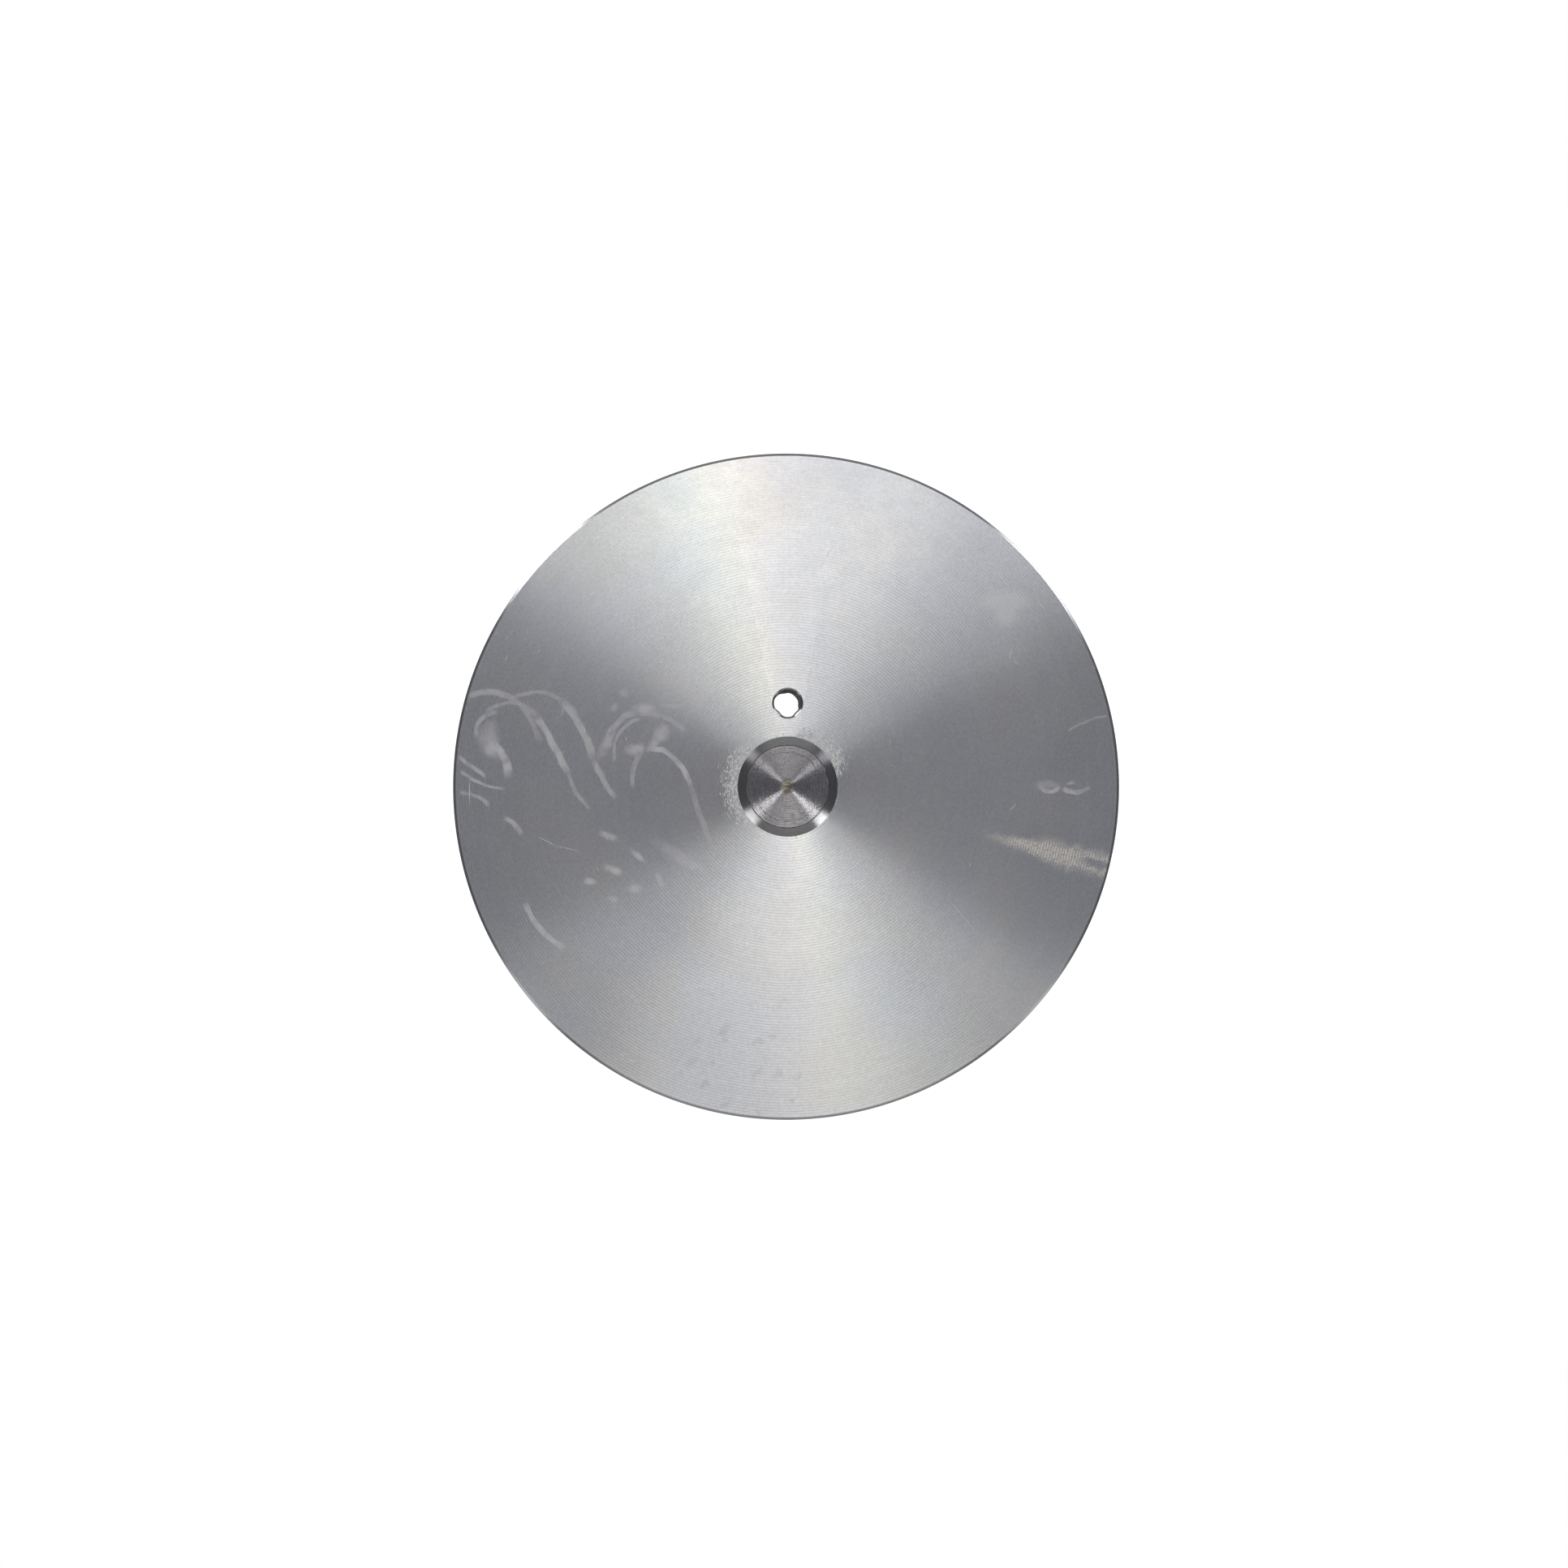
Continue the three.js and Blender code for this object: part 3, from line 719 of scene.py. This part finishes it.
AMBIENT = 0.05
WHITE = (1.0, 1.0, 1.0)
FLOOR_RADIUS = 200 * MM
FLOOR_OPENING = 12.2 * MM  # in radius, just wider than the carrier
FLOOR_DROP = 0.02 * MM  # how far the floor is below the carrier's end
# Each patch of light: the angle it is measured by, its edges across, its edges from the zenith
# and how soft both are, in degrees, then its strength and its colour. "front" is the azimuth
# from +Y towards +X, "rear" the azimuth from -Y towards +X, and "side" is "front" without its
# sign, so those patches come in pairs.
STUDIO_PATCHES = [
    ("front", (-34, 43), (2, 30), (16, 6), 1.75, (1.0, 1.0, 0.985)),
    ("rear", (-24, 36), (2, 30), (22, 6), 0.72, (1.0, 0.985, 0.945)),
    ("side", (-60, 240), (-40, 44), (20, 14), 0.185, (0.97, 0.98, 1.06)),
    ("front", (-53, -37), (73, 102), (4, 4), 6.0, WHITE),
    ("front", (-53, -37), (40, 73), (4, 5), 1.25, WHITE),
    ("front", (42, 60), (73, 102), (4, 4), 4.2, WHITE),
    ("front", (42, 60), (40, 73), (4, 5), 1.1, WHITE),
    ("side", (124, 136), (43, 102), (5, 4), 1.1, WHITE),
    ("side", (-60, 34), (48, 130), (8, 8), 0.18, WHITE),
    ("side", (146, 240), (44, 130), (8, 8), 0.32, WHITE),
    ("side", (-60, 240), (98, 140), (20, 5), 0.14, WHITE),
    ("rear", (7, 9), (10, 30), (3, 5), 1.3, (1.0, 0.55, 0.6)),
    ("rear", (12, 15), (10, 30), (3, 5), 1.3, (0.85, 1.0, 0.5)),
    ("front", (-4, -2), (12, 30), (3, 5), 2.6, (1.0, 0.5, 0.65)),
    ("front", (-10, -7), (12, 30), (3, 5), 4.0, (1.0, 0.84, 0.25)),
    ("front", (-16, -13), (12, 30), (3, 5), 2.0, (0.4, 1.0, 0.9)),
]


def make_world():
    """A soft studio. The camera itself sees a plain white surround."""
    world = bpy.data.worlds.new("studio")
    bpy.context.scene.world = world
    world.use_nodes = True
    g = Graph(world.node_tree)
    direction = g.vector("NORMALIZE", g.node("TexCoord").outputs["Generated"])
    x, y, z = g.separate(direction)
    front = g.math("DEGREES", g.math("ARCTAN2", x, y))
    rear = g.math("DEGREES", g.math("ARCTAN2", x, g.times(y, -1.0)))
    angles = {"front": front, "rear": rear, "side": g.math("ABSOLUTE", front)}
    polar = g.math("DEGREES", g.math("ARCCOSINE", z))
    light = g.scaled(g.combine(0.96, 0.98, 1.06), AMBIENT)
    for angle, across, down, soft, strength, colour in STUDIO_PATCHES:
        mask = g.times(g.band(angles[angle], *across, soft[0]), g.band(polar, *down, soft[1]))
        glow = g.scaled(g.combine(*colour), g.times(mask, strength))
        light = g.vector("ADD", light, glow)
    studio = g.node("Background", {"Color": light, "Strength": 1.0})
    surround = g.node("Background", {"Color": (1, 1, 1), "Strength": 1.0})
    seen = g.node("LightPath").outputs["Is Camera Ray"]
    both = g.node("MixShader", {0: seen, 1: studio.outputs[0], 2: surround.outputs[0]})
    g.node("OutputWorld", {"Surface": both.outputs[0]})


def make_floor():
    """A round white table top just below the part. It glows enough to stay white in the pictures.
    For views from below it can be seen through, and it is open under the carrier's mouth."""
    made = bmesh.new()
    sides = 128
    angles = [2 * math.pi * i / sides for i in range(sides)]
    inner, outer = ([made.verts.new((reach * math.cos(a), reach * math.sin(a), 0)) for a in angles]
                    for reach in (FLOOR_OPENING, FLOOR_RADIUS))
    for i in range(sides):
        made.faces.new((inner[i - 1], outer[i - 1], outer[i], inner[i]))
    floor = new_piece("floor", made)
    material, g = new_material("floor")
    diffuse = g.node("BsdfDiffuse", {"Color": (0.8, 0.8, 0.8)})
    glow = g.node("Emission", {"Color": (1, 1, 1), "Strength": 0.9})
    lit = g.node("AddShader", {0: diffuse.outputs[0], 1: glow.outputs[0]})
    seen = g.node("LightPath").outputs["Is Camera Ray"]
    both = g.node("MixShader", {0: seen, 1: diffuse.outputs[0], 2: lit.outputs[0]})
    clear = g.node("BsdfTransparent")
    under = g.node("NewGeometry").outputs["Backfacing"]
    surface = g.node("MixShader", {0: under, 1: both.outputs[0], 2: clear.outputs[0]})
    g.node("OutputMaterial", {"Surface": surface.outputs[0]})
    floor.data.materials.append(material)
    floor.location.z = -FLOOR_DROP


def make_camera():
    """Looks down at the turned face, from a little to the left of the spin axis."""
    distance, aside = 370 * MM, -11 * MM
    picture_width = 281.8 * MM  # at the rotor's face
    data = bpy.data.cameras.new("camera")
    data.sensor_width = 36
    data.lens = data.sensor_width * distance / picture_width
    data.clip_start = 0.01
    data.clip_end = 10
    camera = bpy.data.objects.new("camera", data)
    bpy.context.scene.collection.objects.link(camera)
    camera.location = (aside, 0, FRONT_Z + distance)
    target = Vector((-0.66 * MM, 0.47 * MM, FRONT_Z))
    ahead = (target - camera.location).normalized()
    right = ahead.cross(Vector((0, 1, 0))).normalized()
    up = right.cross(ahead)
    camera.rotation_euler = Matrix((right, up, -ahead)).transposed().to_euler()
    bpy.context.scene.camera = camera


# ---- Rotor and spindle ----

EDGE_BREAK = 0.3 * MM  # at the front of the drive-pin hole
HOLE_TAPER = 0.06 * MM  # how much smaller in radius the drive-pin hole is below that
# Where that hole stands in: the angle and half width in degrees, and how far. The drill left two
# flatter sides all the way down, and ragged lips at the rear.
FLATS = [(-135, 20, 0.16 * MM), (-44, 17, 0.16 * MM)]
LIPS = [(98, 16, 0.18 * MM), (2, 14, 0.18 * MM), (40, 20, 0.05 * MM), (150, 25, 0.05 * MM)]
FLATS_BELOW = 1.9  # how many times as far the flatter sides stand in below the edge break
LIP_HEIGHT = 0.5 * MM


def thread(crest, pitch, depth, top=math.inf):
    """Radius of a right-hand thread at a height and angle, for a wall at the crest radius that
    ends below the given height."""
    def radius_at(radius, height, angle):
        if radius < crest - depth or height > top:
            return radius
        phase = (height / pitch - angle / (2 * math.pi)) % 1
        flank = min(1, max(0, 1.6 * (1 - abs(2 * phase - 1)) - 0.3))
        return radius - depth * flank
    return radius_at


def threaded_wall(radius, bottom, top, pitch):
    """Outline points up a threaded wall, close enough together to show the thread."""
    steps = math.ceil((top - bottom) / pitch * 8)
    return [(radius, bottom + (top - bottom) * i / steps) for i in range(steps + 1)]


def drilled(radius, height, angle):
    """The radius of the drive-pin hole, where it isn't round."""
    if radius > HOLE_RADIUS or height > FRONT_Z:
        return radius
    factor = FLATS_BELOW if radius < HOLE_RADIUS else 1
    places = [(middle, width, rise * factor) for middle, width, rise in FLATS]
    if height < BOSS_REAR_Z + LIP_HEIGHT:
        places += LIPS
    for middle, width, rise in places:
        away = math.degrees(math.remainder(angle - math.radians(middle), 2 * math.pi))
        radius -= rise * math.exp(-((away / width) ** 2))
    return radius


def make_rotor(material):
    rim = ROTOR_RADIUS - RIM_CHAMFER
    outline = [
        (SEAT_RADIUS, BOSS_REAR_Z),
        (SEAT_RADIUS, FRONT_Z - COUNTERSINK),
        (SEAT_RADIUS + COUNTERSINK, FRONT_Z),
        (rim, FRONT_Z),
        (ROTOR_RADIUS, FRONT_Z - RIM_CHAMFER),
        (ROTOR_RADIUS, PLATE_REAR_Z + RIM_CHAMFER),
        (rim, PLATE_REAR_Z),
        (BOSS_RADIUS, PLATE_REAR_Z),
        (BOSS_RADIUS, BOSS_REAR_Z + RIM_CHAMFER),
        (BOSS_RADIUS - RIM_CHAMFER, BOSS_REAR_Z),
    ]
    rotor = lathe("rotor", softened(outline, 0.06 * MM), 384)
    over = 1 * MM
    narrow = HOLE_RADIUS - HOLE_TAPER
    drill = [
        (0, BOSS_REAR_Z - over),
        (0, FRONT_Z + over),
        (HOLE_RADIUS + EDGE_BREAK + over, FRONT_Z + over),
        (HOLE_RADIUS, FRONT_Z - EDGE_BREAK),
        (narrow, FRONT_Z - EDGE_BREAK - 0.4 * MM),
        (narrow, BOSS_REAR_Z + LIP_HEIGHT + 0.1 * MM),
        (narrow, BOSS_REAR_Z + 0.1 * MM),
        (narrow, BOSS_REAR_Z - over),
    ]
    tools = [lathe("drill", drill, 96, Matrix.Translation((0, HOLE_OFFSET, 0)), drilled)]
    for angle in SCREW_ANGLES.values():
        crest = SCREW_RADIUS + 0.1 * MM
        wall = threaded_wall(crest, SEAT_RADIUS - over, BOSS_RADIUS + over, SCREW_PITCH)
        outline = [(0, wall[0][1]), (0, wall[-1][1]), *reversed(wall)]
        profile = thread(crest, SCREW_PITCH, SCREW_THREAD)
        tools.append(lathe("tap", outline, 48, outwards(angle, BOSS_MIDDLE_Z), profile))
    carve(rotor, tools)
    fit(rotor, "rotor_disc", "rotor", material)


def make_spindle(material):
    top = SPINDLE_TOP_Z
    seat = SEAT_RADIUS - 0.05 * MM
    flange_top = BOSS_REAR_Z - 0.05 * MM
    flange_rear = CARRIER_TOP_Z + 0.6 * MM
    step = high("front_bearing_inner_ring").z + 0.05 * MM
    # The turned end, from the pip outwards: distance from the axis and depth below the edge, in mm.
    face = [(0, 0.02), (0.35, 0.05), (0.6, 0.2), (1.2, 0.17), (1.75, 0.13)]
    face += [(6.1, 0.03), (6.13, 0.06), (6.22, 0.06), (6.25, 0.02)]
    face = [(radius * MM, top - depth * MM) for radius, depth in face] + [(seat - 0.1 * MM, top)]
    shaft = [
        (seat, top - 0.1 * MM),
        (seat, flange_top),
        (FLANGE_RADIUS, flange_top),
        (FLANGE_RADIUS, flange_rear),
        (ABUTMENT_RADIUS, flange_rear),
        (ABUTMENT_RADIUS, step),
        (JOURNAL_RADIUS, step),
        (JOURNAL_RADIUS, THREAD_TOP_Z),
        (THREAD_RADIUS, THREAD_TOP_Z),
    ]
    wall = threaded_wall(THREAD_RADIUS, SPINDLE_TIP_Z + 0.8 * MM, THREAD_TOP_Z - 0.2 * MM, THREAD_PITCH)
    tip = [(THREAD_RADIUS - 0.8 * MM, SPINDLE_TIP_Z)]
    outline = [(0, SPINDLE_TIP_Z), *face, *softened([(0, top), *shaft], 0.08 * MM)[1:]]
    outline += [*reversed(wall), *tip]
    profile = thread(THREAD_RADIUS, THREAD_PITCH, 0.6 * MM, THREAD_TOP_Z)
    spindle = lathe("spindle_turned", outline, 192, None, profile)
    half, bottom, over = SCREW_RADIUS, seat - 0.5 * MM, seat + 1.5 * MM
    square = [(-half, -half), (half, -half), (half, half), (-half, half)]
    places = [outwards(angle, BOSS_MIDDLE_Z) for angle in SCREW_ANGLES.values()]
    carve(spindle, [prism("flat", square, bottom, over, place) for place in places])
    fit(spindle, "spindle", "rotor", material)


def make_set_screw(side, material):
    """An M5 x 10 set screw with a flat point and a hex socket."""
    start = SEAT_RADIUS - 0.5 * MM
    end = start + 10 * MM
    crest, point, bevel, socket = SCREW_RADIUS, 1.2 * MM, 0.3 * MM, 2.5 * MM
    wall = threaded_wall(crest, start + point, end - bevel, SCREW_PITCH)
    outline = [(0, start + 0.5 * MM), (0, end), (crest - bevel, end), *reversed(wall)]
    outline += [(crest - point, start), (crest - point - bevel, start)]
    place = outwards(SCREW_ANGLES[side], BOSS_MIDDLE_Z)
    screw = lathe(f"grub_screw_{side}", outline, 64, place, thread(crest, SCREW_PITCH, SCREW_THREAD))
    key = prism("key", polygon(6, socket), end - 3 * MM, end + MM, place)
    low_end = end - 0.15 * MM
    cone = [(0, low_end), (0, end + MM), (2.9 * MM, end + MM), (1.3 * MM, low_end)]
    carve(screw, [key, lathe("cone", cone, 48, place)])
    fit(screw, f"set_screw_{side}", "rotor", material)


# ---- Carrier and fasteners ----


def make_carrier(material):
    """The tube: bearing seats with a waist between them, a circlip groove inside and one outside."""
    clip_top = high("carrier_circlip").z + 0.05 * MM
    clip_low = low("carrier_circlip").z - 0.05 * MM
    rear_seat = high("rear_bearing_outer_ring").z
    front_seat = low("front_bearing_outer_ring").z
    edge, clip_radius = 0.5 * MM, 10 * MM
    groove_low, groove_high, groove_radius = 4 * MM, 5.3 * MM, CARRIER_RADIUS - 0.7 * MM
    outline = [
        (BEARING_SEAT + edge, 0),
        (BEARING_SEAT, edge),
        (BEARING_SEAT, clip_low),
        (clip_radius, clip_low),
        (clip_radius, clip_top),
        (BEARING_SEAT, clip_top),
        (BEARING_SEAT, rear_seat),
        (CARRIER_WAIST, rear_seat),
        (CARRIER_WAIST, front_seat),
        (BEARING_SEAT, front_seat),
        (BEARING_SEAT, CARRIER_TOP_Z),
        (CARRIER_RADIUS - edge, CARRIER_TOP_Z),
        (CARRIER_RADIUS, CARRIER_TOP_Z - edge),
        (CARRIER_RADIUS, groove_high),
        (groove_radius, groove_high),
        (groove_radius, groove_low),
        (CARRIER_RADIUS, groove_low),
        (CARRIER_RADIUS, edge),
        (CARRIER_RADIUS - edge, 0),
    ]
    tube = lathe("carrier_tube", softened(outline, 0.08 * MM), 256)
    fit(tube, "bearing_carrier", "carrier", material)


def polar_points(radius, start, end, steps):
    """Points along an arc about the axis, from one angle to another, in degrees."""
    angles = [math.radians(start + (end - start) * i / steps) for i in range(steps + 1)]
    return [(radius * math.cos(a), radius * math.sin(a)) for a in angles]


def make_circlip(material):
    """An open ring with two lugs for pliers. Its opening is centred on -Y."""
    half_opening, lug = 25, 16  # in degrees
    outside, inside, lug_inside = 9.9 * MM, 8 * MM, 6.7 * MM
    hole, hole_radius = 7.75 * MM, 0.55 * MM
    start, end = -90 + half_opening, 270 - half_opening
    outline = polar_points(outside, start, end, 120)
    outline += polar_points(lug_inside, end, end - lug, 8)
    outline += polar_points(inside, end - lug, start + lug, 100)
    outline += polar_points(lug_inside, start + lug, start, 8)
    bottom, top = low("carrier_circlip").z, high("carrier_circlip").z
    clip = prism("snap_ring", outline, bottom, top)
    tools = []
    pin = ring_outline(0, hole_radius, bottom - MM, top + MM)
    for angle in (start + lug / 2, end - lug / 2):
        centre = Matrix.Translation((*polar_points(hole, angle, angle, 1)[0], 0))
        tools.append(lathe("plier_hole", pin, 32, centre))
    carve(clip, tools)
    bevel = clip.modifiers.new("edges", "BEVEL")
    bevel.width = 0.06 * MM
    bevel.segments = 2
    bevel.limit_method = "ANGLE"
    fit(clip, "carrier_circlip", "carrier", material)


def make_ring(name, node, bore, edge, material, segments=128):
    """A plain ring that fills its CAD node's box, with rounded edges."""
    outline = ring_outline(bore, high(node).x, low(node).z, high(node).z)
    fit(lathe(name, softened(outline, edge, 4), segments), node, "rotor", material)


def make_lock_nut(material):
    """A hex nut with 30 degree chamfers and a recess for its nylon insert."""
    bottom, top = low("lock_nut").z, high("lock_nut").z
    across_flats, shoulder = 13 * MM, 6.15 * MM
    corner = across_flats / math.cos(math.pi / 6) / 2 + 0.05 * MM
    drop = (corner - shoulder) * math.tan(math.radians(30))
    nut = prism("hex_nut", polygon(6, across_flats), bottom, top)
    cap = [(0, bottom), (0, top), (shoulder, top), (corner, top - drop), (corner, bottom + drop)]
    cap += [(shoulder, bottom)]
    carve(nut, [lathe("cap", cap, 192)], "INTERSECT")
    bore, recess, depth = 4.1 * MM, 5.2 * MM, 1.4 * MM
    tool = [(0, bottom - MM), (0, top + MM), (bore + 0.8 * MM, top + MM), (bore, top - 0.3 * MM)]
    tool += [(bore, bottom + depth), (recess, bottom + depth), (recess, bottom - MM)]
    carve(nut, [lathe("tap", tool, 128)])
    fit(nut, "lock_nut", "rotor", material)


# ---- Bearings ----

PITCH_RADIUS = 7.25 * MM
BALL_RADIUS = 1.19 * MM
BALL_COUNT = 11
HALF_WIDTH = 2.5 * MM
INNER_LAND = 6.35 * MM
OUTER_LAND = 8.2 * MM
SEAL_STEP = 8.65 * MM
POCKET_RADIUS = 1.3 * MM
# A seal's outline: distance from the axis and from the bearing's middle, in mm.
SEAL = [(6.55, 1.85), (6.55, 2.1), (6.75, 2.28), (7.0, 2.28), (7.15, 2.12), (8.0, 2.12), (8.15, 2.28)]
SEAL += [(8.6, 2.28), (8.6, 1.8), (7.2, 1.8), (7.0, 1.85)]


def race(land, side, middle):
    """Outline points round a ball race, from below to above. side is 1 on the outer ring."""
    radius = BALL_RADIUS + 0.04 * MM
    reach = math.acos(abs(land - PITCH_RADIUS) / radius)
    angles = [-reach + 2 * reach * i / 12 for i in range(13)]
    return [(PITCH_RADIUS + side * radius * math.cos(a), middle + radius * math.sin(a)) for a in angles]


def ball_angle(i):
    return 2 * math.pi * i / BALL_COUNT + math.pi / 2


def make_bearing(place, cage_body, steel, rubber, nylon):
    """One bearing: two rings, two seals, a cage and its balls. place is front or rear."""
    node = f"{place}_bearing"
    middle = (low(f"{node}_inner_ring").z + high(f"{node}_inner_ring").z) / 2
    bottom, top = middle - HALF_WIDTH, middle + HALF_WIDTH
    bore = JOURNAL_RADIUS + 0.05 * MM
    inner = [(bore, bottom), (bore, top), (INNER_LAND, top)]
    inner += [*reversed(race(INNER_LAND, -1, middle)), (INNER_LAND, bottom)]
    ring = lathe(f"{place}_inner_race", softened(inner, 0.25 * MM), 128)
    fit(ring, f"{node}_inner_ring", "rotor", steel)

    outside, shelf = BEARING_SEAT - 0.05 * MM, 0.8 * MM
    outer = [(outside, top), (outside, bottom), (SEAL_STEP, bottom), (SEAL_STEP, bottom + shelf)]
    outer += [(OUTER_LAND, bottom + shelf), *race(OUTER_LAND, 1, middle), (OUTER_LAND, top - shelf)]
    outer += [(SEAL_STEP, top - shelf), (SEAL_STEP, top)]
    ring = lathe(f"{place}_outer_race", softened(outer, 0.2 * MM), 160)
    fit(ring, f"{node}_outer_ring", "carrier", steel)

    for side, label in ((1, "upper"), (-1, "lower")):
        outline = [(radius * MM, middle + side * away * MM) for radius, away in SEAL]
        seal = lathe(f"{place}_{label}_shield", softened(outline, 0.05 * MM), 128)
        fit(seal, f"{node}_{label}_seal", "carrier", rubber)

    half, wall = 1.6 * MM, 0.45 * MM
    cage_outline = ring_outline(PITCH_RADIUS - wall, PITCH_RADIUS + wall, middle - half, middle + half)
    cage = lathe(f"{place}_ball_cage", softened(cage_outline, 0.12 * MM), 132)
    pockets = bmesh.new()
    for i in range(BALL_COUNT):
        turn = outwards(ball_angle(i), middle) @ Matrix.Translation((0, 0, PITCH_RADIUS))
        bmesh.ops.create_cone(pockets, cap_ends=True, segments=32, radius1=POCKET_RADIUS,
                              radius2=POCKET_RADIUS, depth=2 * MM, matrix=turn)
    carve(cage, [new_piece("pockets", pockets)])
    fit(cage, f"{node}_cage", cage_body, nylon)

    for i in range(BALL_COUNT):
        angle = ball_angle(i)
        centre = (PITCH_RADIUS * math.cos(angle), PITCH_RADIUS * math.sin(angle), middle)
        made = bmesh.new()
        bmesh.ops.create_icosphere(made, subdivisions=4, radius=BALL_RADIUS,
                                   matrix=Matrix.Translation(centre))
        ball = new_piece(f"{place}_steel_ball_{i + 1:02d}", made)
        fit(ball, f"{node}_ball_{i + 1:02d}", cage_body, steel)


# ---- The whole part ----

make_camera()
make_world()
make_floor()

black = plated("black_oxide", (0.035, 0.035, 0.04), 0.6, 0.42, 0.01 * MM, 5.0)
zinc = plated("zinc_steel", (0.66, 0.68, 0.71), 1.0, 0.3, 0.01 * MM, 3.0)
rubber = plated("seal_rubber", (0.02, 0.02, 0.022), 0.0, 0.62, 0.02 * MM, 6.0)
cage_nylon = plated("cage_nylon", (0.72, 0.68, 0.55), 0.0, 0.5, 0.01 * MM, 4.0)
insert_nylon = plated("insert_nylon", (0.08, 0.2, 0.45), 0.0, 0.45, 0.01 * MM, 4.0)
race_steel = fine_turned("bearing_steel", (0.7, 0.71, 0.72), 0.05 * MM, 0.02, 0.16, 0.6)
carrier_steel = fine_turned("carrier_steel", (0.58, 0.59, 0.61), 0.18 * MM, 0.08, 0.3, 0.8)

make_rotor(turned_steel())
make_spindle(spindle_steel())
for side in SCREW_ANGLES:
    make_set_screw(side, black)
make_carrier(carrier_steel)
make_circlip(black)
make_ring("spacer_tube", "spacer_sleeve", 5.05 * MM, 0.2 * MM, zinc)
make_ring("flat_washer", "spindle_washer", 4.2 * MM, 0.2 * MM, zinc)
make_lock_nut(zinc)
make_ring("nut_collar", "lock_nut_insert", 4.1 * MM, 0.12 * MM, insert_nylon)
make_bearing("front", "front_cage", race_steel, rubber, cage_nylon)
make_bearing("rear", "rear_cage", race_steel, rubber, cage_nylon)

view = bpy.context.scene.view_settings
view.view_transform = "Standard"
view.look = "None"
